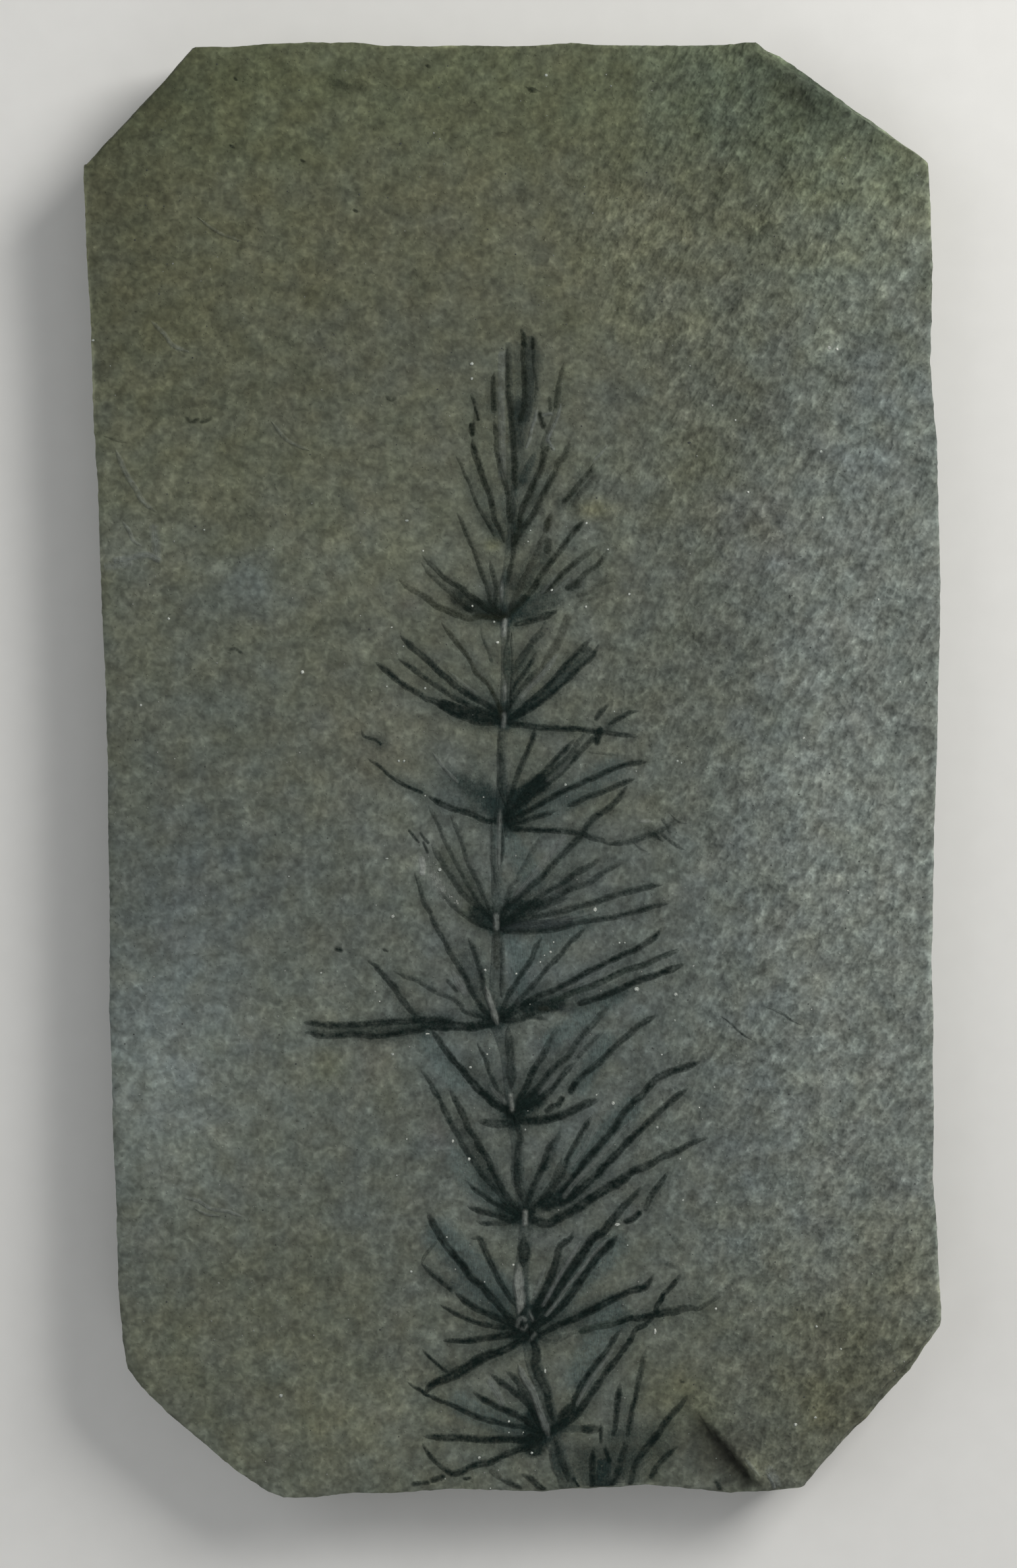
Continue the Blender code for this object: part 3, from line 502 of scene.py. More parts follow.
    ("whorl_05", "carbon", (.95, .95, .7, .7), 7.5, "780,1257 800,1259 830,1260 854,1261 872,1263 887,1267 902,1272 914,1275 924,1282"),
    ("whorl_05", "pale", .6, 4, "656,1142 675,1167 694,1187"),
    ("whorl_05", "pale", .3, 4, "830,1185 850,1170 866,1154"),
    # ---- sixth whorl
    ("whorl_06", "carbon", .7, 24, "722,1386 736,1396 752,1405", 6),
    ("whorl_06", "carbon", .7, 14, "772,1376 792,1374 818,1372", 4),
    ("whorl_06", "purple", .75, 18, "768,1405 800,1405 830,1404 862,1399", 3),
    ("whorl_06", "grey", .25, 40, "790,1372 830,1350 870,1330", 12),
    ("whorl_06", "carbon", .65, 9, "656,1283 666,1300 678,1320 690,1338 703,1356 717,1369 737,1384", 2),
    ("whorl_06", "carbon", .75, 5.5, "650,1223 663,1246 672,1269 681,1288 690,1306 703,1330 715,1351 723,1365 732,1377 744,1392 751,1403"),
    ("whorl_06", "carbon", .7, 6, "684,1238 694,1260 702,1281 708,1303 717,1323 726,1339 733,1358"),
    ("whorl_06", "carbon", .8, 4, "621,1260 627,1268 634,1276"),
    ("whorl_06", "carbon", .8, 4, "639,1265 644,1272 650,1279"),
    ("whorl_06", "carbon", .8, 4, "643,1279 646,1286 649,1294"),
    ("whorl_06", "carbon", (.6, .9), 6, "671,1356 684,1371 696,1381 714,1395 726,1402 746,1409"),
    ("whorl_06", "carbon", .5, 6, "819,1271 804,1300 794,1317 785,1335 775,1348"),
    ("whorl_06", "pink", .35, 10, "854,1272 832,1300 809,1329 784,1360", 3),
    ("whorl_06", "carbon", .95, 8, "951,1194 938,1212 923,1227 908,1236 899,1243 890,1255 881,1269 866,1284 851,1300 836,1315 822,1332 809,1341 794,1356 782,1365 771,1373"),
    ("whorl_06", "carbon", .7, 9, "909,1304 890,1317 875,1324 859,1337", 2),
    ("whorl_06", "carbon", .85, 6, "867,1332 851,1342 833,1351 815,1363 797,1375 783,1384"),
    ("whorl_06", "carbon", .8, 7, "942,1311 926,1318 911,1327 896,1338 881,1345 869,1348 851,1357 833,1365 815,1372 795,1381"),
    ("whorl_06", "carbon", .7, 7, "861,1362 845,1368 830,1374 812,1381 792,1390"),
    ("whorl_06", "carbon", .85, 8, "1005,1342 986,1345 968,1350 950,1354 932,1359 914,1365 896,1371 878,1375 860,1381 839,1386 818,1390 795,1394"),
    ("whorl_06", "carbon", .92, 6.5, "1013,1371 992,1375 974,1381 950,1387 932,1392 908,1395 884,1399 866,1404 845,1410 818,1413 794,1414 770,1413 759,1411"),
    ("whorl_06", "pale", .35, 4, "905,1382 880,1390 850,1397"),
    # ---- seventh whorl
    ("whorl_07", "purple", .35, 28, "703,1440 712,1470 724,1500", 8),
    ("whorl_07", "carbon", .75, 22, "798,1530 820,1528 848,1524", 5),
    ("whorl_07", "purple", .55, 15, "854,1532 860,1532 866,1531", 4),
    ("whorl_07", "blue", .5, 14, "933,1509 940,1507 948,1505", 4),
    ("whorl_07", "green", .45, 9, "470,1562 520,1564 580,1562 645,1558", 2.5),
    ("whorl_07", "carbon", .92, 14, "640,1556 660,1557 690,1557 717,1558", 1.8),
    ("whorl_07", "carbon", .85, 7, "822,1423 812,1440 807,1455 797,1470 787,1485 779,1499 771,1511"),
    ("whorl_07", "carbon", (.9, .7), 7, "888,1409 877,1420 865,1430 855,1444 845,1455 832,1467 822,1480 810,1494 800,1505 790,1515 775,1532"),
    ("whorl_07", "carbon", .95, 8, "1003,1409 995,1421 980,1431 965,1441 950,1447 935,1454 920,1461 905,1469 892,1475 877,1484 862,1492 847,1500 832,1506 817,1512 802,1520 785,1533"),
    ("whorl_07", "green", .8, 7, "1029,1443 1012,1450 995,1456 980,1464 965,1469 947,1474 932,1481 917,1489 902,1496 887,1501 872,1506 857,1512 840,1518"),
    ("whorl_07", "carbon", .7, 3, "1029,1440 1012,1446 980,1460 947,1470 917,1485 887,1497 857,1508"),
    ("whorl_07", "carbon", .97, 9, "1037,1463 1022,1470 1007,1475 992,1481 975,1486 960,1492 945,1499 930,1506 915,1512 900,1517 880,1523"),
    ("whorl_07", "carbon", .85, 8, "785,1548 805,1542 829,1547"),
    ("whorl_07", "brown", .6, 7, "820,1531 825,1531 831,1531"),
    ("whorl_07", "carbon", (.75, .9), (6, 8), "630,1325 636,1341 643,1368 652,1383 659,1400 667,1415 676,1430 684,1447 692,1460 702,1475 709,1487 715,1502 724,1517 735,1533"),
    ("whorl_07", "carbon", .7, 6, "681,1489 687,1496 693,1503"),
    ("whorl_07", "carbon", .8, 7, "711,1424 719,1440 724,1457 729,1472 732,1485 737,1507"),
    ("whorl_07", "carbon", (.6, .8), 6, "599,1474 615,1481 632,1487 647,1496 662,1505 677,1511 690,1517 700,1525 708,1536"),
    ("whorl_07", "carbon", (.9, .97), 8.5, "463,1552 480,1553 497,1555 515,1556 540,1555 560,1554 580,1552 600,1550 620,1550 640,1548 665,1547 682,1550"),
    ("whorl_07", "carbon", (.85, .97), 8, "465,1567 472,1567 485,1571 502,1572 520,1571 540,1570 552,1571 570,1572 590,1570 610,1567 630,1564 642,1562"),
    ("whorl_07", "carbon", .9, 8, "712,1561 730,1556 747,1556"),
    ("whorl_07", "pink", .45, 10, "686,1474 697,1492 706,1509", 2.5),
    ("whorl_07", "pale", .35, 3.5, "905,1480 880,1492 855,1502"),
    # ---- eighth whorl
    ("whorl_08", "carbon", .75, 28, "785,1690 795,1680 815,1668", 6),
    ("whorl_08", "carbon", .75, 12, "727,1702 750,1705 777,1705", 2.5),
    ("whorl_08", "grey", .3, 30, "800,1650 820,1625 845,1598", 9),
    ("whorl_08", "grey", .3, 26, "745,1660 732,1640 712,1610", 8),
    ("whorl_08", "carbon", .85, 8, "559,1458 570,1466 580,1477 590,1489 600,1500 607,1512 617,1525 630,1541"),
    ("whorl_08", "carbon", .95, (9, 10, 14), "656,1564 667,1580 682,1602 700,1622 712,1637 725,1652 740,1665 750,1675 767,1683"),
    ("whorl_08", "carbon", .9, 6, "725,1584 731,1597 736,1605 742,1625 750,1642 756,1656"),
    ("whorl_08", "carbon", (.4, .9, .9), 9, "848,1559 840,1570 832,1585 822,1605 812,1620 806,1632 800,1647 791,1663"),
    ("whorl_08", "carbon", (.6, .85, .85), 8, "926,1524 912,1540 900,1555 887,1567 877,1580 869,1592 860,1605 847,1615 837,1625 827,1637 817,1650 804,1663"),
    ("whorl_08", "carbon", .6, 6, "916,1566 902,1577 890,1590 879,1603"),
    ("whorl_08", "carbon", .9, 8, "872,1613 860,1625 850,1637 840,1650 826,1663"),
    ("whorl_08", "carbon", .9, 8, "997,1541 980,1550 965,1560 955,1570 940,1582 925,1597 912,1610 900,1620 887,1630 875,1642 866,1653"),
    ("whorl_08", "carbon", .85, 9, "872,1646 870,1650 867,1656"),
    ("whorl_08", "carbon", .85, 9, "853,1668 850,1672 847,1677"),
    ("whorl_08", "carbon", .85, 9, "838,1679 835,1682 831,1685"),
    ("whorl_08", "carbon", .95, 12, "907,1669 890,1675 875,1682 860,1690 845,1695 827,1699 810,1701 790,1700"),
    ("whorl_08", "pale", .6, 6, "744,1651 755,1662 766,1673"),
    ("whorl_08", "pale", .35, 4, "850,1625 832,1645 818,1660"),
    # ---- ninth whorl
    ("whorl_09", "carbon", .6, 20, "762,1836 770,1842 781,1850", 5),
    ("whorl_09", "carbon", (.3, .5), (20, 34), "700,1700 722,1750 745,1796", 8),
    ("whorl_09", "carbon", .85, 24, "828,1828 846,1820 868,1808", 5),
    ("whorl_09", "blue", .5, 8, "851,1714 840,1745 829,1774", 2.5),
    ("whorl_09", "carbon", (.7, .85), (6, 8), "639,1624 647,1634 655,1647 660,1657 666,1666"),
    ("whorl_09", "carbon", (.85, .85, .6), 8, "666,1664 672,1680 680,1695 687,1710 695,1722 702,1737 710,1750 725,1772 735,1787 750,1802 762,1817 774,1832"),
    ("whorl_09", "carbon", (.9, .9, .9, .7), 9, "684,1654 692,1672 702,1690 707,1702 712,1715 722,1727 727,1740 735,1752 742,1762 747,1777 760,1800 768,1814"),
    ("whorl_09", "carbon", .95, 7, "711,1795 720,1805 735,1815 747,1824 760,1830 774,1838"),
    ("whorl_09", "carbon", .9, 9, "711,1832 725,1837 740,1841 755,1845 774,1851"),
    ("whorl_09", "carbon", .7, 7, "724,1854 735,1857 750,1856 767,1856"),
    ("whorl_09", "carbon", .9, 8, "801,1838 804,1839 808,1840"),
    ("whorl_09", "carbon", .9, 9, "841,1729 834,1740 829,1755 824,1770 817,1785 810,1800 804,1813"),
    ("whorl_09", "carbon", .7, 7, "853,1759 840,1792 826,1813"),
    ("whorl_09", "carbon", (.9, .9, .7), 7, "898,1694 890,1707 882,1720 876,1732 870,1742 862,1757 855,1780 845,1795 835,1810 824,1821"),
    ("whorl_09", "carbon", .95, 9.5, "1062,1611 1042,1619 1025,1624 1010,1630 997,1637 985,1649 975,1662 965,1669 955,1680 945,1691 937,1705 927,1719 915,1732 905,1744 895,1755 885,1767 875,1782 867,1792 855,1807"),
    ("whorl_09", "carbon", .95, (8, 11), "1042,1653 1027,1664 1015,1675 1000,1687 987,1700 975,1712 962,1724 950,1735 940,1747 927,1760 915,1772 905,1784 892,1795 880,1806 867,1816 853,1826"),
    ("whorl_09", "carbon", (.9, .95), (7, 9, 14, 14, 10), "1072,1728 1057,1732 1045,1737 1032,1745 1020,1751 1005,1756 992,1764 977,1771 962,1777 950,1786 935,1796 922,1802 907,1812 892,1822 880,1831 865,1840 850,1847 830,1857"),
    ("whorl_09", "pale", .5, 6, "961,1699 940,1720 915,1750 895,1772 875,1792 856,1816", 2),
    ("whorl_09", "pale", .35, 7, "905,1710 885,1745 867,1768", 3),
    ("whorl_09", "pale", .4, 3, "920,1795 900,1806 882,1818"),
    # ---- tenth whorl
    ("whorl_10", "carbon", .85, 18, "800,1990 812,1984 822,1976", 4),
    ("whorl_10", "purple", .25, 40, "690,1925 715,1955 745,1978", 12),
    ("whorl_10", "grey", .3, 40, "860,1930 845,1960 830,1985", 10),
    ("whorl_10", "carbon", (.9, .9, .5), 8, "1013,1779 1005,1792 995,1805 987,1817 980,1834"),
    ("whorl_10", "carbon", .9, 9, "951,1853 960,1850 970,1841"),
    ("whorl_10", "green", .5, 8, "973,1801 965,1812 955,1822 944,1833"),
    ("whorl_10", "carbon", (.5, .95, .95, .95), (7, 12, 13, 11, 9), "972,1803 955,1822 945,1832 935,1845 925,1857 915,1870 902,1877 892,1890 885,1902 875,1915 865,1930 855,1945 847,1957 837,1972 825,1990 816,2001"),
    ("whorl_10", "carbon", .95, (13, 11, 9), "936,1876 927,1887 917,1897 907,1905 897,1920 887,1935 877,1950 867,1965 855,1980 842,1992 831,2001"),
    ("whorl_10", "carbon", .9, (11, 9), "870,1871 865,1880 850,1892 846,1907 842,1922 835,1940 827,1957 819,1973"),
    ("whorl_10", "carbon", .95, (9, 11, 8), "991,1936 985,1946 977,1954 965,1957 950,1962 935,1969 920,1977 905,1985 890,1992 875,2000 860,2006 845,2012 830,2020 820,2025"),
    ("whorl_10", "carbon", (.4, .6, .8, .95, .95), (6, 7, 12, 9, 9), "1094,1966 1078,1975 1060,1986 1050,1985 1035,1986 1025,1990 1012,1991 1000,1994 985,1997 970,2001 955,2001 940,2007"),
    ("whorl_10", "green", .85, 9, "942,2007 930,2010 915,2012 900,2015 883,2021"),
    ("whorl_10", "carbon", .4, 7, "872,2023 855,2029 838,2035"),
    ("whorl_10", "carbon", .95, 10, "650,1843 660,1862 670,1879 677,1890 687,1902 695,1912 704,1922 712,1935 722,1945 732,1952 742,1965 752,1975 762,1987 772,1999"),
    ("whorl_10", "carbon", .95, 8, "716,1880 726,1879 732,1887 737,1900 744,1915 750,1927 757,1942 765,1955 775,1970 787,1984"),
    ("whorl_10", "carbon", .7, 4, "661,1886 652,1897 644,1907 639,1920"),
    ("whorl_10", "carbon", .85, 6, "640,1917 647,1925 657,1935 670,1945 684,1957"),
    ("whorl_10", "carbon", .95, 9, "692,1963 707,1975 720,1984 732,1990 745,1995 762,2003"),
    ("whorl_10", "carbon", .95, (5, 8), "669,1981 680,1987 692,1994 705,2000 717,2005 730,2009 745,2012 760,2014 775,2014 792,2018"),
    ("whorl_10", "carbon", .95, (6, 12), "674,2035 692,2035 710,2035 727,2032 745,2030 762,2027 780,2026 800,2027"),
    ("whorl_10", "carbon", .95, 5, "641,2048 652,2060 660,2067 670,2076 677,2081"),
    ("whorl_10", "carbon", .97, (10, 13, 15, 9), "802,2028 785,2037 770,2046 755,2052 740,2057 725,2065 710,2075 697,2082 685,2089 672,2094 660,2099 651,2106 645,2116"),
    ("whorl_10", "carbon", .95, 5, "620,2099 630,2106 640,2111 648,2118"),
    ("whorl_10", "pale", .6, 4.5, "921,1881 897,1907 880,1930 862,1952 845,1977 829,1996"),
    ("whorl_10", "pink", .55, 4.5, "881,1884 862,1915 847,1940 835,1962 824,1981"),
    ("whorl_10", "pale", .45, 5, "828,1921 817,1950 811,1966"),
    # ---- eleventh whorl
    ("whorl_11", "carbon", .75, 36, "812,2156 812,2175 811,2194", 5),
    ("whorl_11", "teal", .5, 12, "895,2169 875,2169 853,2169", 3),
    ("whorl_11", "carbon", .95, (7, 8, 11), "1033,1934 1025,1945 1017,1955 1007,1965 1002,1975 997,1982 995,1990 987,2002 977,2012 965,2018 955,2037 945,2050 935,2065 922,2080 910,2097 900,2112 890,2127 880,2140 870,2152"),
    ("whorl_11", "carbon", .95, 8, "941,2020 930,2035 920,2052 907,2067 897,2080 887,2095 880,2107 872,2125 866,2142"),
    ("whorl_11", "carbon", .9, 10, "869,2128 860,2138 851,2149"),
    ("whorl_11", "carbon", .85, 13, "888,2169 900,2169 917,2169"),
    ("whorl_11", "carbon", .9, 5, "912,2161 912,2175 912,2189"),
    ("whorl_11", "carbon", .95, (5, 8, 6), "640,2115 655,2120 667,2126 682,2131 700,2139 715,2146 730,2152 747,2157 765,2161 780,2164 802,2167"),
    ("whorl_11", "carbon", .95, 9, "719,2113 732,2122 745,2129 757,2136 772,2142 787,2149 802,2158"),
    ("whorl_11", "carbon", .9, 9, "746,2086 757,2095 767,2102 787,2117 797,2127 807,2137 813,2152"),
    ("whorl_11", "carbon", .7, 10, "769,2081 780,2090 787,2097 792,2110 801,2122"),
    ("whorl_11", "carbon", .97, (9, 11), "645,2180 662,2181 682,2182 700,2182 720,2184 740,2185 760,2184 780,2184 797,2185 814,2180"),
    ("whorl_11", "carbon", .95, (5, 9, 9), "641,2191 647,2201 655,2212 665,2222 675,2230 687,2236 700,2234 712,2227 727,2222 742,2220 757,2212 772,2206 787,2200 800,2197 814,2189"),
    ("whorl_11", "carbon", .8, 6, "628,2252 638,2251 649,2250"),
    ("whorl_11", "carbon", .85, 8, "657,2246 664,2244 672,2241"),
    ("whorl_11", "carbon", .8, 5, "705,2244 709,2244 713,2243"),
    ("whorl_11", "carbon", .9, 7, "758,2244 775,2251 789,2257"),
    ("whorl_11", "carbon", .95, 9, "793,2238 807,2245 817,2255 827,2262"),
    ("whorl_11", "brown", .5, 9, "747,2233 752,2237 757,2241", 2.5),
    ("whorl_11", "pale", .6, 4.5, "931,2049 915,2070 900,2090 887,2110 876,2131"),
    ("whorl_11", "pale", .55, 10, "744,2096 752,2110 761,2128", 3),
    # ---- cluster at the lower edge
    ("cluster", "grey", .4, 60, "880,2222 910,2222 945,2220", 14),
    ("cluster", "blue", .8, 22, "916,2224 916,2240 916,2256", 3),
    ("cluster", "carbon", .95, (10, 8), "941,2101 939,2115 937,2130 936,2145 934,2162 931,2177"),
    ("cluster", "carbon", (.5, .9, .9), 7, "981,2048 975,2070 971,2090 967,2105 965,2120 960,2137 957,2155 953,2177"),
    ("cluster", "carbon", .9, 9, "944,2185 949,2194 945,2207 940,2227 935,2240 929,2252"),
    ("cluster", "carbon", (.95, .95, .7), (8, 10, 8), "1042,2120 1032,2135 1022,2145 1012,2157 1002,2172 992,2185 982,2197 972,2210 965,2220 962,2230 957,2252"),
    ("cluster", "carbon", .9, 8, "1028,2196 1017,2205 1007,2215 997,2227 989,2242"),
    ("cluster", "carbon", .95, 9, "901,2198 899,2215 899,2235 900,2257"),
    ("cluster", "carbon", .9, 7, "919,2200 922,2208 925,2217"),
    ("cluster", "carbon", .9, 4, "869,2244 873,2250 878,2256"),
    # ---- debris, cracks and scars away from the plant, and painted highlights along the scarp at the lower right
    ("marks", "carbon", .97, (4, 7, 5), "796,131 806,136 820,139"),
    ("marks", "carbon", .8, 4, "356,119 359,121"), ("marks", "carbon", .8, 4, "350,221 354,223"),
    ("marks", "carbon", .7, 4, "458,243 462,245"),
    ("marks", "carbon", .7, 4, "538,319 542,321"), ("marks", "carbon", .9, 6, "511,1440 517,1442"),
    ("marks", "carbon", .8, 4, "583,1441 587,1443"), ("marks", "carbon", .7, 4, "648,99 652,101"),
    ("marks", "carbon", .7, 4, "1033,2096 1037,2098"),
    ("marks", "carbon", .35, 14, "503,124 518,128 530,134", 5),
    ("marks", "carbon", .35, 12, "540,128 550,134 558,141", 5),
    ("marks", "carbon", .45, 4, "158,662 172,666 192,672"),
    ("marks", "carbon", .75, 2.6, "1163,1529 1178,1534 1190,1540 1202,1549 1215,1555"),
    ("marks", "carbon", .75, 2.6, "1095,1543 1108,1552 1118,1562 1129,1571 1142,1579"),
    ("marks", "carbon", (.8, .6, .6), (7, 8, 5), "923,1281 942,1279 960,1276 976,1270 990,1266 1010,1256 1024,1248 1036,1240"),
    ("marks", "carbon", .45, 26, "984,1262 994,1268", 9), ("marks", "carbon", .8, 8, "985,1262 995,1268 1005,1276"),
    ("marks", "carbon", .55, 5, "1000,1262 1014,1274 1028,1284 1040,1290"), ("marks", "carbon", .5, 4, "961,1278 970,1286 981,1292"),
    ("marks", "carbon", .5, 4, "1006,1244 1012,1254 1016,1262"), ("marks", "carbon", .4, 4, "1018,1236 1030,1246 1044,1250"),
    ("marks", "carbon", .3, 9, "1024,1879 1030,1887 1036,1896", 3),
    ("marks", "carbon", .25, 9, "1056,1966 1065,1968", 3), ("marks", "carbon", .4, 8, "1014,1918 1026,1922", 3),
    ("marks", "carbon", .8, 6, "1087,2251 1090,2254 1093,2262"),
    ("marks", "pale", .6, 5, "280,1818 300,1822 320,1834 344,1838 368,1846"),
    ("marks", "pale", .5, 4, "296,1834 312,1842 334,1846"),
    ("marks", "pale", .5, 5, "186,792 196,806 202,820 214,828"),
    ("marks", "pale", .6, 8, "176,850 196,848 222,842 240,850", 3),
    # the first pale mark on the next line is a painted highlight beside the lit lower end of the scarp at the lower
    # right
    ("marks", "pale", .55, 12, "1168,2232 1176,2248 1180,2260", 4), ("marks", "pale", .34, 30, "648,1308 662,1338 688,1368", 10),
    ("marks", "pale", .40, 5, "230,488 250,508 262,524 286,534", 2.5), ("marks", "pale", .5, 11, "233,800 236,822 238,846", 4),
    ("marks", "pale", .45, 10, "152,862 172,858 196,856", 4), ("marks", "pale", .35, 6, "176,684 192,720 206,742 216,760 236,776", 2.5),
    ("marks", "carbon", .6, 4, "283,634 291,640 300,636"), ("marks", "carbon", .6, 4.5, "306,640 314,638 320,634"),
    ("marks", "carbon", .5, 4, "588,603 594,607 600,604"), ("marks", "carbon", .5, 4, "350,986 358,984 366,990"),
    ("marks", "pale", .25, 3, "300,330 330,352 366,366"), ("marks", "pale", .22, 4, "412,640 436,668 470,684"),
    ("marks", "white", .95, 9, "640,1305 641,1315 641,1325", 2),
    ("marks", "white", .35, 10, "655,1325 662,1336 670,1350", 4),
    # the next two pale marks are painted highlights along the lit upper edge of the scarp at the lower right
    ("marks", "pale", .5, 5, "1129,2212 1140,2226 1152,2240"),
    ("marks", "pale", .9, 4, "1166,2240 1172,2250 1176,2262"),
    ("marks", "white", .5, 6, "966,1246 978,1246 990,1247", 2.5),
]


def trace(points):
    """Points every 2.4 units on a smooth line through the given ones, and the distance along."""
    p = np.array([[float(v) for v in q.split(",")] for q in points.split()])
    q = np.vstack([2 * p[0] - p[1], p, 2 * p[-1] - p[-2]])
    out = []
    for i in range(1, len(q) - 2):
        a, b, c, d = q[i - 1], q[i], q[i + 1], q[i + 2]
        for t in np.linspace(0, 1, 12, endpoint=False):
            out.append(0.5 * (2 * b + (c - a) * t + (2 * a - 5 * b + 4 * c - d) * t * t
                              + (3 * b - a - 3 * c + d) * t ** 3))
    out.append(q[-2])
    out = np.array(out)
    step = np.hypot(*np.diff(out, axis=0).T)
    s = np.concatenate([[0], np.cumsum(step)])
    n = max(4, int(round(s[-1] / 2.4)) + 1)
    at = np.linspace(0, s[-1], n)
    line = np.stack([np.interp(at, s, out[:, 0]), np.interp(at, s, out[:, 1])], 1)
    return line, at


def spread(values, at):
    v = np.atleast_1d(np.array(values, float))
    return np.interp(at / max(at[-1], 1e-6), np.linspace(0, 1, len(v)), v) if len(v) > 1 else np.full(len(at), v[0])


STEM_LINE = np.array([(780, 740), (773, 833), (766, 945), (767, 1060), (762, 1140), (758, 1240), (754, 1344),
                      (752, 1500), (752, 1552), (768, 1600), (778, 1700), (786, 1760), (799, 1850), (792, 1950),
                      (803, 2030), (825, 2110), (848, 2210), (864, 2260)], float)


def off_stem(p):
    return abs(p[0] - np.interp(p[1], STEM_LINE[:, 1], STEM_LINE[:, 0]))


# where the blades of each whorl meet the stem
NODES = {"whorl_03": (768, 938), "whorl_04": (764, 1094), "whorl_05": (762, 1246), "whorl_06": (757, 1406),
         "whorl_07": (756, 1548), "whorl_08": (776, 1696), "whorl_09": (793, 1846), "whorl_10": (802, 2022),
         "whorl_11": (826, 2178)}
NODES = {name: np.array(at, float) for name, at in NODES.items()}

LIGHTER = {"tuft": 0.87, "whorl_03": 0.88, "whorl_04": 0.95, "whorl_05": 1.0, "whorl_06": 0.87, "whorl_07": 0.94,
           "whorl_08": 0.93, "whorl_09": 0.92, "whorl_10": 1.0, "whorl_11": 0.95, "cluster": 0.94, "stem": 0.84}

lines = []
for index, row in enumerate(STROKES):
    group, hue, strong, wide, points = row[:5]
    soft = row[5] if len(row) > 5 else (1.8 if np.max(wide) < 5.5 else 2.6)
    if group in NODES and soft < 3.5 and hue not in ("pale", "pink", "white"):
        ends = np.array([[float(v) for v in q.split(",")] for q in points.split()])
        gap = [np.hypot(*(NODES[group] - ends[k])) for k in (0, -1)]
        k = -1 if gap[1] <= gap[0] else 0
        run = np.hypot(*(ends[-1] - ends[0]))
        way, goal = ends[k] - ends[-1 - k if k else -1], NODES[group] - ends[k]
        if 6.0 < gap[k] < 62.0 and run > 36.0 and way @ goal > 0.62 * np.hypot(*way) * gap[k]:
            more = ends[k] + goal * (1.0 - 5.0 / gap[k])
            more = "%.1f,%.1f" % (more[0], more[1])
            points = points + " " + more if k else more + " " + points
    line, at = trace(points)
    on = np.nonzero(edge_distance(line[:, 0], line[:, 1]) > 3.2)[0]
    if len(on) < 2:
        continue
    line, at = line[on[0]:on[-1] + 1], at[on[0]:on[-1] + 1] - at[on[0]]
    width = spread(wide, at)
    strength = spread(strong, at)
    long = at[-1]
    if soft >= 3.5 and hue not in ("pink", "pale", "white", "purple", "mist", "umber"):
        strength = np.where(strength > 0.45, np.minimum(strength + 0.55 * (strength - 0.45), 0.96), strength)
    thin = soft < 2.9 and long > 24.0
    root_last = off_stem(line[-1]) <= off_stem(line[0])
    if thin:
        tip = at if root_last else long - at
        foot = long - at if root_last else at
        if group in ("stem", "marks"):
            tip = foot = np.minimum(tip, foot)
        width = np.where(width > 5.5, width + 0.9, width + 0.3)
        width = width * (0.30 + 0.70 * np.clip(tip / 16.0, 0, 1) ** 0.7) * (0.85 + 0.15 * np.clip(foot / 10.0, 0, 1))
        width = width * (1.0 + 0.16 * wave(at / 15.0, index * 3.7, 61) + 0.10 * wave(at / 5.5, index * 1.9, 63))
        strength = strength * (0.70 + 0.30 * np.clip(tip / 12.0, 0, 1))
        strength = strength * LIGHTER.get(group, 1.0)
        strength = strength * (1.0 + (0.0 if hue in ("pale", "white", "pink") else 0.15) * wave(at / 16.0, index * 2.3, 67))
    if group == "stem" and hue in ("pale", "white"):
        soft, strength = max(soft, 2.3), strength * 0.98
    strength = np.clip(strength, 0.0, 1.0)
    tang = np.gradient(line, axis=0)
    tang = tang / np.maximum(np.hypot(*tang.T), 1e-6)[:, None]
    normal = np.stack([-tang[:, 1], tang[:, 0]], 1)
    warm = float(ramp(1010.0, 820.0, line[:, 1].mean())) * (hue == "carbon")
    lines.append(dict(group=group, hue=np.array(HUES[hue]) * (1 + .6 * warm, 1 + .1 * warm, 1 - .15 * warm), name=hue, line=line, at=at, width=width,
                      strength=strength, normal=normal, soft=soft, thin=thin, index=index,
                      vein=0.55 * np.clip(0.15 + wave(at / 24.0, index * 5.1, 69), 0, 1) * (1.0 if thin else 0.0)))
    dark_leaf = hue in ("carbon", "olive", "brown", "green", "teal", "blue") and group not in ("stem", "marks")
    if thin and dark_leaf and width.max() > 5.0 and long > 40.0:
        # carbon dust spread between the blades, densest towards the node
        fade = (at if root_last else long - at) / long
        lines.append(dict(group="haze", hue=np.array(HUES["haze"]), name="haze", line=line[::2], at=at[::2],
                          width=(width + 15.0)[::2], strength=(strength * (0.17 + 0.46 * fade ** 1.2))[::2],
                          normal=normal[::2], soft=11.0, thin=False, index=index, vein=np.zeros(len(line[::2]))))
# soft stains lie under all the blades
lines = [s for s in lines if s["soft"] >= 3.5] + [s for s in lines if s["soft"] < 3.5]
# the light streaks of the stem show through the feet of the blades
lines.sort(key=lambda s: s["group"] == "stem" and s["name"] in ("pale", "white"))
# a faint dusting all along the stem
lines.insert(0, dict(group="haze", hue=np.array(HUES["haze"]), name="haze", line=STEM_LINE,
                     at=np.concatenate([[0], np.cumsum(np.hypot(*np.diff(STEM_LINE, axis=0).T))]),
                     width=np.linspace(26.0, 64.0, len(STEM_LINE)), strength=np.full(len(STEM_LINE), 0.14),
                     normal=np.zeros_like(STEM_LINE), soft=30.0, thin=False, index=999, vein=np.zeros(len(STEM_LINE))))


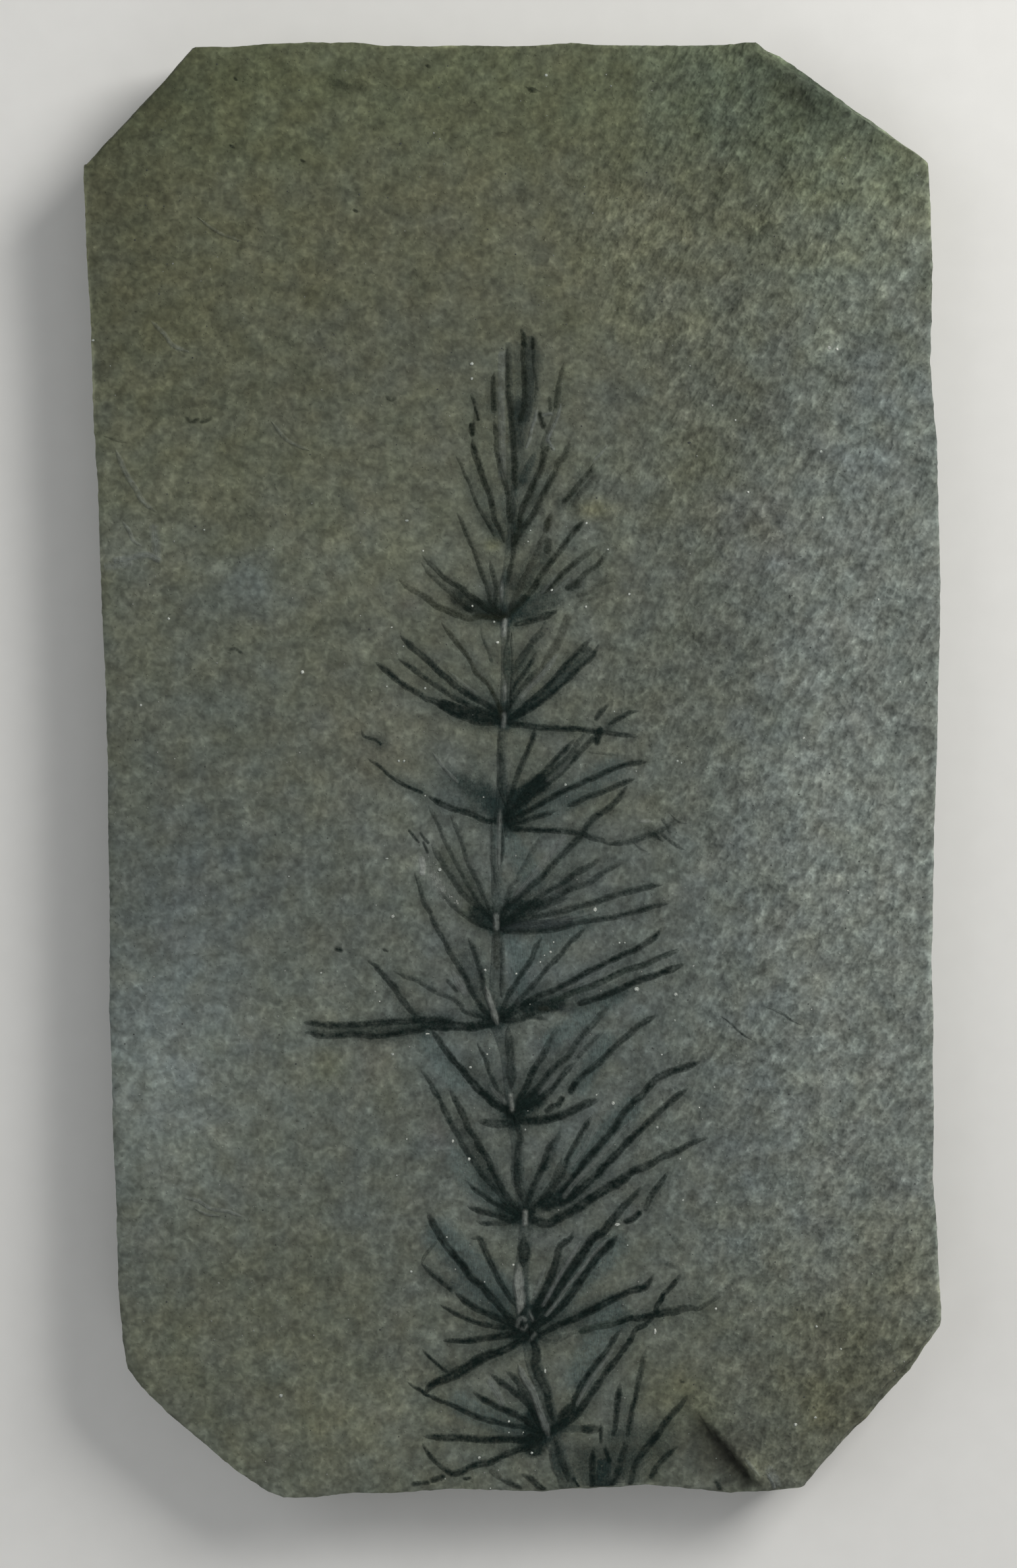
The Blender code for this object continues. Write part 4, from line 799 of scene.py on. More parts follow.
def paint(x, y, soft_only=False):
    """Colour and cover of the film at each point: the strokes laid over each other in order."""
    rgb = np.zeros((len(x), 3))
    cover = np.zeros(len(x))
    patchy = 1.0 + 0.16 * wave(x / 6.0, y / 6.0, 73) + 0.14 * wave(x / 17.0, y / 15.0, 75)
    jagged = 0.75 * wave(x / 4.2, y / 4.2, 87) + 0.35 * wave(x / 9.0, y / 9.0, 89)
    for s in lines:
        if soft_only and s["soft"] < 3.5:
            continue
        reach = s["width"].max() / 2 + 2.2 * s["soft"] + 1.0
        lo, hi = s["line"].min(0) - reach, s["line"].max(0) + reach
        pick = np.nonzero((x > lo[0]) & (x < hi[0]) & (y > lo[1]) & (y < hi[1]))[0]
        if not len(pick):
            continue
        px, py = x[pick], y[pick]
        near, half, strong = np.full(len(pick), 1e9), np.zeros(len(pick)), np.zeros(len(pick))
        vein = np.zeros(len(pick))
        a, b = s["line"][:-1], s["line"][1:]
        for k in range(len(a)):
            d = b[k] - a[k]
            box = (np.abs(px - (a[k][0] + b[k][0]) / 2) < reach + 2.0) & (np.abs(py - (a[k][1] + b[k][1]) / 2) < reach + 2.0)
            i = np.nonzero(box)[0]
            if not len(i):
                continue
            t = np.clip(((px[i] - a[k][0]) * d[0] + (py[i] - a[k][1]) * d[1]) / max(d @ d, 1e-9), 0, 1)
            h = (s["width"][k] * (1 - t) + s["width"][k + 1] * t) / 2
            dist = np.hypot(px[i] - a[k][0] - t * d[0], py[i] - a[k][1] - t * d[1])
            better = dist < near[i]
            j = i[better]
            near[j] = dist[better]
            half[j] = h[better]
            strong[j] = (s["strength"][k] * (1 - t) + s["strength"][k + 1] * t)[better]
            vein[j] = s["vein"][k]
        strong = strong * (1.0 - vein * np.exp(-(near / np.maximum(0.40 * half, 0.8)) ** 2))
        near = near + jagged[pick] * min(1.0, s["soft"] / 2.0)
        out_, in_ = (1.3, 1.35) if s["thin"] and s["name"] not in ("pale", "white", "pink") else (1.0, 0.9)
        c = np.clip(strong * np.minimum(patchy[pick], 1.12), 0, 1) * ramp(half + s["soft"] * out_, half - s["soft"] * in_, near)
        rgb[pick] = rgb[pick] * (1 - c)[:, None] + s["hue"][None, :] * c[:, None]
        cover[pick] = cover[pick] * (1 - c) + c
    return rgb / np.maximum(cover, 1e-4)[:, None], cover


# ------------------------------------------------------------------ materials
def node(tree, kind, **settings):
    n = tree.nodes.new(kind)
    for key, value in settings.items():
        setattr(n, key, value)
    return n


class Tree:
    """A few short names for the nodes that the materials are made of."""

    def __init__(self, name):
        self.material = bpy.data.materials.new(name)
        self.material.use_nodes = True
        self.t = self.material.node_tree
        self.shader = self.t.nodes["Principled BSDF"]

    def put(self, socket, value):
        if hasattr(value, "links"):
            self.t.links.new(value, socket)
        else:
            socket.default_value = value

    def math(self, how, a, b=0.0, c=0.0, clamp=False):
        n = node(self.t, "ShaderNodeMath", operation=how, use_clamp=clamp)
        for socket, value in zip(n.inputs, (a, b, c)):
            self.put(socket, value)
        return n.outputs[0]

    def attribute(self, name, output="Color"):
        return node(self.t, "ShaderNodeAttribute", attribute_name=name).outputs[output]

    def vector(self, how, a, b=(0, 0, 0)):
        n = node(self.t, "ShaderNodeVectorMath", operation=how)
        self.put(n.inputs[0], a)
        self.put(n.inputs[3] if how == "SCALE" else n.inputs[1], b)
        return n.outputs[0]

    def noise(self, where, scale, detail=2.0, rough=0.5, twist=0.0):
        n = node(self.t, "ShaderNodeTexNoise", noise_dimensions="3D")
        self.put(n.inputs["Vector"], where)
        n.inputs["Scale"].default_value = scale
        n.inputs["Detail"].default_value = detail
        n.inputs["Roughness"].default_value = rough
        n.inputs["Distortion"].default_value = twist
        return n.outputs[0]

    def range(self, value, low, high, to_low=0.0, to_high=1.0):
        n = node(self.t, "ShaderNodeMapRange", interpolation_type="SMOOTHSTEP")
        for socket, v in zip(n.inputs, (value, low, high, to_low, to_high)):
            self.put(socket, v)
        return n.outputs[0]

    def mix(self, how, amount, a, b):
        n = node(self.t, "ShaderNodeMix", data_type="RGBA", blend_type=how)
        self.put(n.inputs[0], amount)
        self.put(n.inputs[6], a)
        self.put(n.inputs[7], b)
        return n.outputs[2]

    def rotated(self, where, turn, scale):
        n = node(self.t, "ShaderNodeMapping", vector_type="POINT")
        self.put(n.inputs["Vector"], where)
        n.inputs["Rotation"].default_value = (0.0, 0.0, turn)
        n.inputs["Scale"].default_value = scale
        return n.outputs[0]


STONE = (0.0915, 0.1045, 0.0930)


def shale():
    m = Tree("dark_shale")
    spot = node(m.t, "ShaderNodeTexCoord").outputs["Object"]
    mm = m.vector("SCALE", spot, 1000.0)
    tint = m.attribute("tone")
    rough = m.attribute("hackly", "Fac")
    side = m.attribute("broken", "Fac")
    film = m.attribute("film")
    cover = m.attribute("film", "Alpha")
    blade = m.attribute("blade", "Vector")
    # grain of the stone: mottles, fine grain, larger clouds, and slanting streaks on the right
    mottle = m.noise(mm, 1.40, 1.6, 0.5, 0.4)
    fine = m.noise(mm, 2.7, 1.5, 0.5)
    cloud = m.noise(mm, 0.42, 2.0, 0.5, 0.3)
    turned = m.rotated(mm, math.radians(-52.0), (1.0, 1.0, 1.0))
    streak = m.noise(m.vector("MULTIPLY", turned, (0.60, 1.20, 1.0)), 1.0, 1.4, 0.5, 0.1)
    bits = m.noise(m.vector("MULTIPLY", turned, (1.3, 2.1, 1.7)), 1.0, 1.0, 0.5, 0.0)
    layers = m.noise(m.vector("MULTIPLY", mm, (0.16, 0.16, 2.6)), 1.0, 3.0, 0.6, 0.2)
    value = m.math("MULTIPLY_ADD", m.math("SUBTRACT", mottle, 0.5), m.math("MULTIPLY_ADD", rough, -0.35, 1.45), 1.0)
    value = m.math("MULTIPLY_ADD", m.math("SUBTRACT", fine, 0.5), m.math("MULTIPLY_ADD", rough, 0.05, 0.40), value)
    patch = m.noise(mm, 0.78, 2.0, 0.45, 0.6)
    value = m.math("MULTIPLY_ADD", m.math("SUBTRACT", patch, 0.5), m.math("MULTIPLY_ADD", rough, -0.05, 0.85), value)
    value = m.math("MULTIPLY_ADD", m.math("SUBTRACT", cloud, 0.5), m.math("MULTIPLY_ADD", rough, -0.15, 0.95), value)
    slant = m.math("ADD", m.math("MULTIPLY", m.math("SUBTRACT", streak, 0.5), 1.2),
                   m.math("MULTIPLY", m.math("SUBTRACT", bits, 0.5), 0.50))
    value = m.math("MULTIPLY_ADD", slant, m.math("MULTIPLY_ADD", rough, 1.20, 0.2), value)
    value = m.math("MULTIPLY_ADD", m.math("MULTIPLY", m.math("SUBTRACT", layers, 0.5), side), 1.3, value)
    # tiny dark pits, and pale grains whose pale colour partly stands in for the glint of mica (painted glint)
    pits = m.range(m.noise(mm, 3.3, 1.0, 0.5), 0.30, 0.22)
    value = m.math("MULTIPLY_ADD", pits, -0.20, value)
    cells = node(m.t, "ShaderNodeTexVoronoi", feature="F1", voronoi_dimensions="3D")
    m.put(cells.inputs["Vector"], mm)
    cells.inputs["Scale"].default_value = 1.9
    pick = m.range(m.math("FRACT", m.math("MULTIPLY", cells.outputs["Color"], 7.13)), 0.80, 0.97)
    grain = m.math("MULTIPLY", m.range(cells.outputs["Distance"], 0.26, 0.06), pick)
    value = m.math("MULTIPLY_ADD", grain, m.math("MULTIPLY_ADD", rough, 0.05, 0.35), value)
    value = m.math("POWER", 2.5, m.math("SUBTRACT", value, 1.0))
    value = m.math("MAXIMUM", value, 0.22)
    hue = m.noise(mm, 0.34, 2.0, 0.5)
    warm = m.mix("MIX", m.range(hue, 0.34, 0.66), (STONE[0] * 0.99, STONE[1] * 1.004, STONE[2] * 1.015, 1),
                 (STONE[0] * 1.01, STONE[1] * 0.998, STONE[2] * 0.975, 1))
    stone = m.mix("MULTIPLY", 1.0, warm, tint)
    grey = node(m.t, "ShaderNodeCombineColor")
    for socket in grey.inputs[:3]:
        m.put(socket, value)
    stone = m.mix("MULTIPLY", 1.0, stone, grey.outputs[0])
    # the film: fibres along each blade, worn through where it is thin
    fibre = m.noise(m.vector("MULTIPLY", blade, (0.75, 0.075, 1.0)), 1.0, 3.0, 0.6)
    flake = m.noise(mm, 4.2, 3.0, 0.65)
    wear = m.math("ADD", m.math("MULTIPLY", m.math("SUBTRACT", flake, 0.5), 0.95),
                  m.math("MULTIPLY", m.math("SUBTRACT", mottle, 0.5), 0.45))
    thin = m.math("MULTIPLY", cover, m.math("SUBTRACT", 1.0, cover))
    amount = m.math("ADD", cover, m.math("MULTIPLY", wear, m.math("MULTIPLY_ADD", thin, 2.6, 0.34)))
    amount = m.math("MULTIPLY", amount, m.range(cover, 0.0, 0.06), clamp=True)
    glint = m.math("MULTIPLY_ADD", m.math("SUBTRACT", fibre, 0.5), 1.7, 1.0)
    glint = m.math("MULTIPLY_ADD", m.math("SUBTRACT", fine, 0.5), 0.9, glint)
    glint = m.math("MAXIMUM", m.math("MULTIPLY_ADD", m.math("SUBTRACT", mottle, 0.5), 0.7, glint), 0.25)
    shade = node(m.t, "ShaderNodeCombineColor")
    for socket in shade.inputs[:3]:
        m.put(socket, glint)
    carbon = m.mix("MULTIPLY", 1.0, film, shade.outputs[0])
    m.put(m.shader.inputs["Base Color"], m.mix("MIX", amount, stone, carbon))
    # matt stone, slightly glossier film
    dull = m.math("MULTIPLY_ADD", m.math("SUBTRACT", fine, 0.5), 0.30, 0.74)
    m.put(m.shader.inputs["Roughness"], m.math("MULTIPLY_ADD", amount, -0.16, dull))
    m.put(m.shader.inputs["Specular IOR Level"], m.math("MULTIPLY_ADD", amount, -0.11, 0.16))
    # relief finer than the mesh
    rise = m.math("MULTIPLY", mottle, 0.75)
    rise = m.math("MULTIPLY_ADD", fine, 0.10, rise)
    rise = m.math("MULTIPLY_ADD", m.math("ADD", m.math("MULTIPLY", streak, 0.8), bits),
                  m.math("MULTIPLY_ADD", rough, 2.3, 0.10), rise)
    rise = m.math("MULTIPLY_ADD", m.math("MULTIPLY", layers, side), 1.0, rise)
    rise = m.math("MULTIPLY_ADD", grain, 0.30, rise)
    rise = m.math("MULTIPLY_ADD", pits, -0.35, rise)
    rise = m.math("MULTIPLY_ADD", m.math("MULTIPLY", fibre, amount), 0.55, rise)
    bump = node(m.t, "ShaderNodeBump")
    bump.inputs["Strength"].default_value = 0.9
    bump.inputs["Distance"].default_value = 0.00014
    m.put(bump.inputs["Height"], rise)
    m.put(m.shader.inputs["Normal"], bump.outputs[0])
    return m.material


# pale grains: their pale colour is partly real and partly stands in for the glint of mica flakes, a painted glint
def crystal(name, strength):
    m = Tree(name)
    mm = m.vector("SCALE", node(m.t, "ShaderNodeTexCoord").outputs["Object"], 1000.0)
    cloudy = m.range(m.noise(mm, 6.0, 2.0), 0.3, 0.7)
    kind = m.range(m.noise(mm, 0.21, 1.0), 0.35, 0.65)
    pale = m.mix("MIX", kind, (0.40 * strength, 0.43 * strength, 0.40 * strength, 1),
                 (0.58 * strength, 0.59 * strength, 0.54 * strength, 1))
    m.put(m.shader.inputs["Base Color"], m.mix("MIX", cloudy, (0.20 * strength, 0.22 * strength, 0.20 * strength, 1), pale))
    m.put(m.shader.inputs["Roughness"], m.math("MULTIPLY_ADD", cloudy, -0.2, 0.48))
    return m.material


def soot():
    m = Tree("carbon_speck")
    mm = m.vector("SCALE", node(m.t, "ShaderNodeTexCoord").outputs["Object"], 1000.0)
    cloudy = m.range(m.noise(mm, 7.0, 3.0), 0.3, 0.7)
    m.put(m.shader.inputs["Base Color"], m.mix("MIX", cloudy, (0.012, 0.015, 0.015, 1), (0.034, 0.038, 0.034, 1)))
    m.put(m.shader.inputs["Roughness"], m.math("MULTIPLY_ADD", cloudy, 0.2, 0.5))
    return m.material


SHALE = shale()
CRYSTAL = crystal("mineral_grain_and_glint", 1.05)
GRAIN = crystal("dull_grain_and_glint", 0.55)
SOOT = soot()


def make(name, verts, faces, uvs, material, smooth=0.7):
    """A mesh object at the origin. uvs holds one pair for each face corner."""
    mesh = bpy.data.meshes.new(name)
    mesh.from_pydata([tuple(v) for v in verts], [], [tuple(f) for f in faces])
    if uvs is not None:
        layer = mesh.uv_layers.new(name="OFBake")
        layer.data.foreach_set("uv", np.clip(np.asarray(uvs, float), 0.0005, 0.9995).ravel())
    mesh.materials.append(material)
    mesh.shade_smooth()
    mesh.set_sharp_from_angle(angle=smooth)
    ob = bpy.data.objects.new(name, mesh)
    scene.collection.objects.link(ob)
    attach(ob, "root")
    return ob


def colour_layer(ob, name, values):
    layer = ob.data.attributes.new(name, "FLOAT_COLOR", "POINT")
    layer.data.foreach_set("color", np.asarray(values, np.float32).ravel())


def number_layer(ob, name, values):
    layer = ob.data.attributes.new(name, "FLOAT", "POINT")
    layer.data.foreach_set("value", np.asarray(values, np.float32).ravel())


def vector_layer(ob, name, values):
    layer = ob.data.attributes.new(name, "FLOAT_VECTOR", "POINT")
    layer.data.foreach_set("vector", np.asarray(values, np.float32).ravel())


# ------------------------------------------------------------------ the slab
STEP = 6.9                 # spacing of the mesh over the upper face, in drawing units


def resample(loop, step):
    nxt = np.roll(loop, -1, axis=0)
    out = []
    for a, b in zip(loop, nxt):
        n = max(1, int(round(np.hypot(*(b - a)) / step)))
        for k in range(n):
            out.append(a + (b - a) * k / n)
    return np.array(out)


rim = resample(OUT, 6.2)
count = len(rim)
arc = np.concatenate([[0], np.cumsum(np.hypot(*np.diff(np.vstack([rim, rim[:1]]), axis=0).T))])[:-1]
perimeter = arc[-1] + np.hypot(*(rim[0] - rim[-1]))
tangent = np.roll(rim, -1, axis=0) - np.roll(rim, 1, axis=0)
for _ in range(2):
    tangent = (np.roll(tangent, -1, axis=0) + 2 * tangent + np.roll(tangent, 1, axis=0)) / 4
inward = np.stack([-tangent[:, 1], tangent[:, 0]], 1)
inward /= np.hypot(*inward.T)[:, None]
if edge_distance(rim[:1, 0] + 20 * inward[:1, 0], rim[:1, 1] + 20 * inward[:1, 1])[0] < 0:
    inward = -inward


def ragged(k, x, y):
    """Small unevenness of the broken rim, k drawing units or so."""
    return k * (0.9 * wave(x / 17.0, y / 17.0, 81) + 0.7 * wave(x / 7.5, y / 7.5, 83))


rim = rim + inward * np.clip(0.35 + ragged(0.9, rim[:, 0], rim[:, 1]), -0.4, 2.0)[:, None]

points = [rim]
depths = [np.zeros(count)]
for inset in (2.2, 5.0, 9.0, 14.5):
    points.append(rim + inward * inset)
    depths.append(np.full(count, inset))
gx = np.arange(OUT[:, 0].min(), OUT[:, 0].max(), STEP)
gy = np.arange(OUT[:, 1].min(), OUT[:, 1].max(), STEP * 0.866)
mx, my = np.meshgrid(gx, gy)
mx = mx + (np.arange(len(gy)) % 2)[:, None] * STEP / 2
jx, jy = mx / STEP, my / STEP
mx = mx + (lattice(np.round(jx * 2), np.round(jy * 2), 91) - 0.5) * STEP * 0.42
my = my + (lattice(np.round(jx * 2), np.round(jy * 2), 93) - 0.5) * STEP * 0.42
mx, my = mx.ravel(), my.ravel()
md = edge_distance(mx, my)
keep = md > 18.5
points.append(np.stack([mx[keep], my[keep]], 1))
depths.append(md[keep])
flat = np.vstack(points)
depth = np.concatenate(depths)
loop = [(i, (i + 1) % count) for i in range(count)]
tv, _, tf, ids, _, _ = delaunay_2d_cdt([Vector(p) for p in flat.tolist()], loop, [], 1, 1e-4, True)
source = np.array([i[0] if i else 0 for i in ids])


def beyond(triangles, at, came_from, outline):
    """Which triangles join three rim points on the outer side of the outline."""
    f = np.array([tuple(t) for t in triangles])
    middle = at[f].mean(1)
    check = np.nonzero((came_from[f] < count).all(1))[0]
    px, py = middle[check, 0], middle[check, 1]
    inside = np.zeros(len(check), bool)
    for (ax, ay), (bx, by) in zip(outline, np.roll(outline, -1, axis=0)):
        if ay != by:
            inside ^= ((ay > py) != (by > py)) & (px < (bx - ax) * (py - ay) / (by - ay) + ax)
    out = np.zeros(len(f), bool)
    out[check] = ~inside
    return out


order = np.full(len(flat), -1)
order[source] = np.arange(len(tv))
top_xy = np.array([(v.x, v.y) for v in tv])
top_d = depth[source]
top_z = surface(top_xy[:, 0], top_xy[:, 1], top_d)
top_faces = []
for f, gone in zip(tf, beyond(tf, top_xy, source, rim)):
    if gone:
        continue
    a, b, c = (top_xy[i] for i in f)
    turn = (b[0] - a[0]) * (c[1] - a[1]) - (b[1] - a[1]) * (c[0] - a[0])
    if abs(turn) > 1e-3:
        top_faces.append((f[0], f[2], f[1]) if turn > 0 else tuple(f))
rim_index = order[:count]

xs, ys = place(top_xy[:, 0], top_xy[:, 1])
verts = [np.stack([xs, ys, top_z], 1)]
info_xy = [top_xy]
info_d = [top_d]
broken = [ramp(3.0, 0.0, top_d) * 0.2]
base = len(top_xy)

# broken, layered sides: each layer of the shale breaks back by its own amount
LAYERS = [0.75, 0.45, 1.15, 0.6, 0.95, 0.5, 1.3, 0.7, 1.0, 0.55, 1.05]
share = np.cumsum([0.0] + LAYERS) / sum(LAYERS)
rings, ring_faces = [rim_index], []
rim_z = top_z[rim_index]
back_chip = np.zeros(count)
for start, end, inset in (((193, 2080), (430, 2276), 16.0), ((1161, 68), (1408, 240), 13.0)):
    off, t = line_side(rim[:, 0], rim[:, 1], start, end)
    back_chip = np.maximum(back_chip, inset * ramp(-.05, .08, t) * ramp(1.05, .92, t) * (np.abs(off) < 14))
levels = []
for k in range(len(LAYERS)):
    drift = 4.0 * (k / len(LAYERS)) ** 0.8
    back = (1.2 + drift + 4.2 * wave(arc / 120.0, k * 5.3 + 0.5, 101) + 3.0 * wave(arc / 36.0, k * 3.1 + 0.5, 103)
            + 1.5 * wave(arc / 13.0, k * 2.3 + 0.5, 105))
    if k == 0:
        back = np.clip(0.5 + 0.35 * back, 0.0, 3.0)
    low_part = ramp(0.55, 1.0, share[k + 1])
    back = np.clip(back, 0.0, 15.0) + back_chip * low_part
    for part, s in ((0, share[k]), (1, share[k + 1])):
        lift = 0.012 * wave(arc / 150.0, s * 40.0, 107)
        level = np.clip(1.0 - s + (lift if 0 < s < 1 else 0.0), 0.0, 1.0)
        z = rim_z * level
        if part == 0:
            z = z - (0.00012 if k == 0 else 0.00004)
        else:
            back = back + 0.5 * wave(arc / 9.0, k * 7.7 + 0.5, 109)
            z = z + (0.0 if k < len(LAYERS) - 1 else 0.00018 + 0.00012 * wave(arc / 40.0, 0.5, 111))
        levels.append((np.clip(back, 0.0, 32.0), np.maximum(z, 0.00002)))
for back, z in levels:
    p = rim + inward * back[:, None]
    px, py = place(p[:, 0], p[:, 1])
    verts.append(np.stack([px, py, z], 1))
    info_xy.append(p)
    info_d.append(np.full(count, 30.0))
    broken.append(np.ones(count))
    rings.append(np.arange(base, base + count))
    base += count
side_quads = []
for r in range(len(rings) - 1):
    a, b = rings[r], rings[r + 1]
    for i in range(count):
        j = (i + 1) % count
        side_quads.append((a[i], a[j], b[j], b[i], r, i))

# the back: a flat cleavage face with shallow hollows, and a slightly raised edge
last = rim + inward * levels[-1][0][:, None]
bx = np.arange(OUT[:, 0].min(), OUT[:, 0].max(), 21.0)
by = np.arange(OUT[:, 1].min(), OUT[:, 1].max(), 18.5)
nx, ny = np.meshgrid(bx, by)
nx = nx + (np.arange(len(by)) % 2)[:, None] * 10.5
qx, qy = nx.ravel(), ny.ravel()
qx = qx + (lattice(np.round(qx), np.round(qy), 95) - 0.5) * 8
qy = qy + (lattice(np.round(qx), np.round(qy), 97) - 0.5) * 8
qd = edge_distance(qx, qy)
ok = qd > 44.0
inner = np.stack([qx[ok], qy[ok]], 1)
second = rim + inward * (levels[-1][0] + 8.0)[:, None]
flat2 = np.vstack([last, second[::2], inner])
bv, _, bf, bids, _, _ = delaunay_2d_cdt([Vector(p) for p in flat2.tolist()], loop, [], 1, 1e-4, True)
bsource = np.array([i[0] if i else 0 for i in bids])
bxy = np.array([(v.x, v.y) for v in bv])
bd = edge_distance(bxy[:, 0], bxy[:, 1])
hollow = np.clip(wave(bxy[:, 0] / 190.0, bxy[:, 1] / 170.0, 121) + 0.15, 0, None)
bz = 0.00030 * hollow * ramp(20.0, 90.0, bd) + 0.00005 * np.clip(wave(bxy[:, 0] / 60.0, bxy[:, 1] / 52.0, 123), 0, None)
step_line, step_t = line_side(bxy[:, 0], bxy[:, 1], (300, 2240), (900, 60))
bz = bz + 0.00016 * ramp(-14.0, 14.0, step_line + 60.0 * wave(bxy[:, 0] / 240.0, bxy[:, 1] / 240.0, 125))
bz = np.maximum(bz - 0.00008, 0.0)
remap = np.full(len(bxy), -1)
last_ring = rings[-1]
new = []
for i, s in enumerate(bsource):
    if s < count:
        remap[i] = last_ring[s]
    else:
        remap[i] = base + len(new)
        new.append(i)
new = np.array(new)
px, py = place(bxy[new, 0], bxy[new, 1])
verts.append(np.stack([px, py, bz[new]], 1))
info_xy.append(bxy[new])
info_d.append(np.full(len(new), 30.0))
broken.append(np.full(len(new), 0.25))
back_faces = []
for f, gone in zip(bf, beyond(bf, bxy, bsource, last)):
    if gone:
        continue
    a, b, c = (bxy[i] for i in f)
    turn = (b[0] - a[0]) * (c[1] - a[1]) - (b[1] - a[1]) * (c[0] - a[0])
    if abs(turn) > 1e-3:
        g = (f[0], f[2], f[1]) if turn < 0 else tuple(f)
        back_faces.append((g, tuple(int(remap[i]) for i in g)))

verts = np.vstack(verts)
info_xy = np.vstack(info_xy)
info_d = np.concatenate(info_d)
broken = np.concatenate(broken)

# which way round the side quads go
a, b = rings[1][0], rings[1][1]
c = rings[2][0]
n = np.cross(verts[b] - verts[a], verts[c] - verts[a])
centre_out = np.append(-inward[0] * np.array([1, -1]), 0)
flip = n @ centre_out > 0
faces, uvs = [], []
k_top = 0.984 / (OUT[:, 1].max() - OUT[:, 1].min())


def uv_top(p):
    return 0.008 + (p[1] - 63.0) * k_top, 0.008 + (p[0] - 126.0) * k_top


top_high = 0.008 + (1428 - 126) * k_top + 0.012
k_back = (0.992 - top_high) / (1428 - 126)


def uv_back(p):
    return 0.008 + (p[1] - 63.0) * k_back, top_high + (p[0] - 126.0) * k_back


back_wide = 0.008 + (2274 - 63) * k_back + 0.012
for f in top_faces:
    faces.append(tuple(int(i) for i in f))
    uvs += [uv_top(top_xy[i]) for i in f]
rows = 5
row_long = perimeter / rows
wide_left = 0.992 - back_wide
row_high = (0.992 - top_high) / rows
for a, b, c, d, r, i in side_quads:
    row = min(rows - 1, int(arc[i] / row_long))
    u0 = back_wide + wide_left * (arc[i] - row * row_long) / row_long
    nxt = arc[i + 1] if i + 1 < count else perimeter
    u1 = back_wide + wide_left * min(1.0, (nxt - row * row_long) / row_long)
    v0 = top_high + row_high * (row + 0.96 - 0.92 * r / (len(rings) - 1))
    v1 = top_high + row_high * (row + 0.96 - 0.92 * (r + 1) / (len(rings) - 1))
    quad, uv = (a, b, c, d), [(u0, v0), (u1, v0), (u1, v1), (u0, v1)]
    if not flip:
        quad, uv = quad[::-1], uv[::-1]
    faces.append(tuple(int(q) for q in quad))
    uvs += uv
for g, f in back_faces:
    faces.append(f)
    uvs += [uv_back(bxy[i]) for i in g]

slab = make("shale_slab", verts, faces, uvs, SHALE, smooth=math.radians(42.0))
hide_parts("shale_plate")
# the back doesn't carry the shade of the hollow that lies in the front
tone_y = info_xy[:, 1].astype(float)
tone_y[-len(new):] = 0.8 * tone_y[-len(new):] + 100.0
colour_layer(slab, "tone", np.hstack([tone(info_xy[:, 0], tone_y, info_d), np.ones((len(verts), 1))]))
colour_layer(slab, "film", np.zeros((len(verts), 4)))
number_layer(slab, "hackly", roughness_of(info_xy[:, 0], info_xy[:, 1]))
number_layer(slab, "broken", broken)
vector_layer(slab, "blade", np.zeros((len(verts), 3)))

tree = BVHTree.FromPolygons([Vector(v) for v in verts[:len(top_xy)].tolist()],
                            [f for f in faces[:len(top_faces)]], all_triangles=True)


def on_stone(x, y):
    """Height of the slab's upper face at drawing points."""
    out = np.empty(len(x))
    sx, sy = place(x, y)
    down = Vector((0, 0, -1))
    for i in range(len(x)):
        hit = tree.ray_cast(Vector((sx[i], sy[i], 0.02)), down)
        out[i] = hit[0].z if hit[0] is not None else np.nan
    bad = np.isnan(out)
    if bad.any():
        d = edge_distance(x[bad], y[bad])
        out[bad] = surface(x[bad], y[bad], np.maximum(d, 0.0))
    return out


# ------------------------------------------------------------------ the films
def packed(sizes):
    """Rectangles laid in rows in a unit square: the scale and each one's corner."""
    order = sorted(range(len(sizes)), key=lambda i: -sizes[i][1])
    area = sum((w + 3) * (h + 3) for w, h in sizes)
    side = max(math.sqrt(area) * 1.02, max(w for w, _ in sizes) + 6)
    while True:
        x = y = 2.0
        high = 0.0
        spots = {}
        for i in order:
            w, h = sizes[i]
            if x + w + 2 > side:
                x, y, high = 2.0, y + high + 2.0, 0.0
            spots[i] = (x, y)
            x += w + 2.0
            high = max(high, h)
        if y + high + 2 <= side:
            return 1.0 / side, spots
        side *= 1.03


def kept_on(pts):
    """The points, those past the rim drawn in to a line just inside it."""
    flat_ = pts.reshape(-1, 2).copy()
    for _ in range(3):
        e = edge_distance(flat_[:, 0], flat_[:, 1])
        i = np.nonzero(e < 2.6)[0]
        if not len(i):
            break
        x, y = flat_[i, 0], flat_[i, 1]
        gx = edge_distance(x + 0.5, y) - edge_distance(x - 0.5, y)
        gy = edge_distance(x, y + 0.5) - edge_distance(x, y - 0.5)
        long = np.maximum(np.hypot(gx, gy), 1e-6)
        flat_[i, 0] = x + gx / long * (2.65 - e[i])
        flat_[i, 1] = y + gy / long * (2.65 - e[i])
    return flat_.reshape(pts.shape)


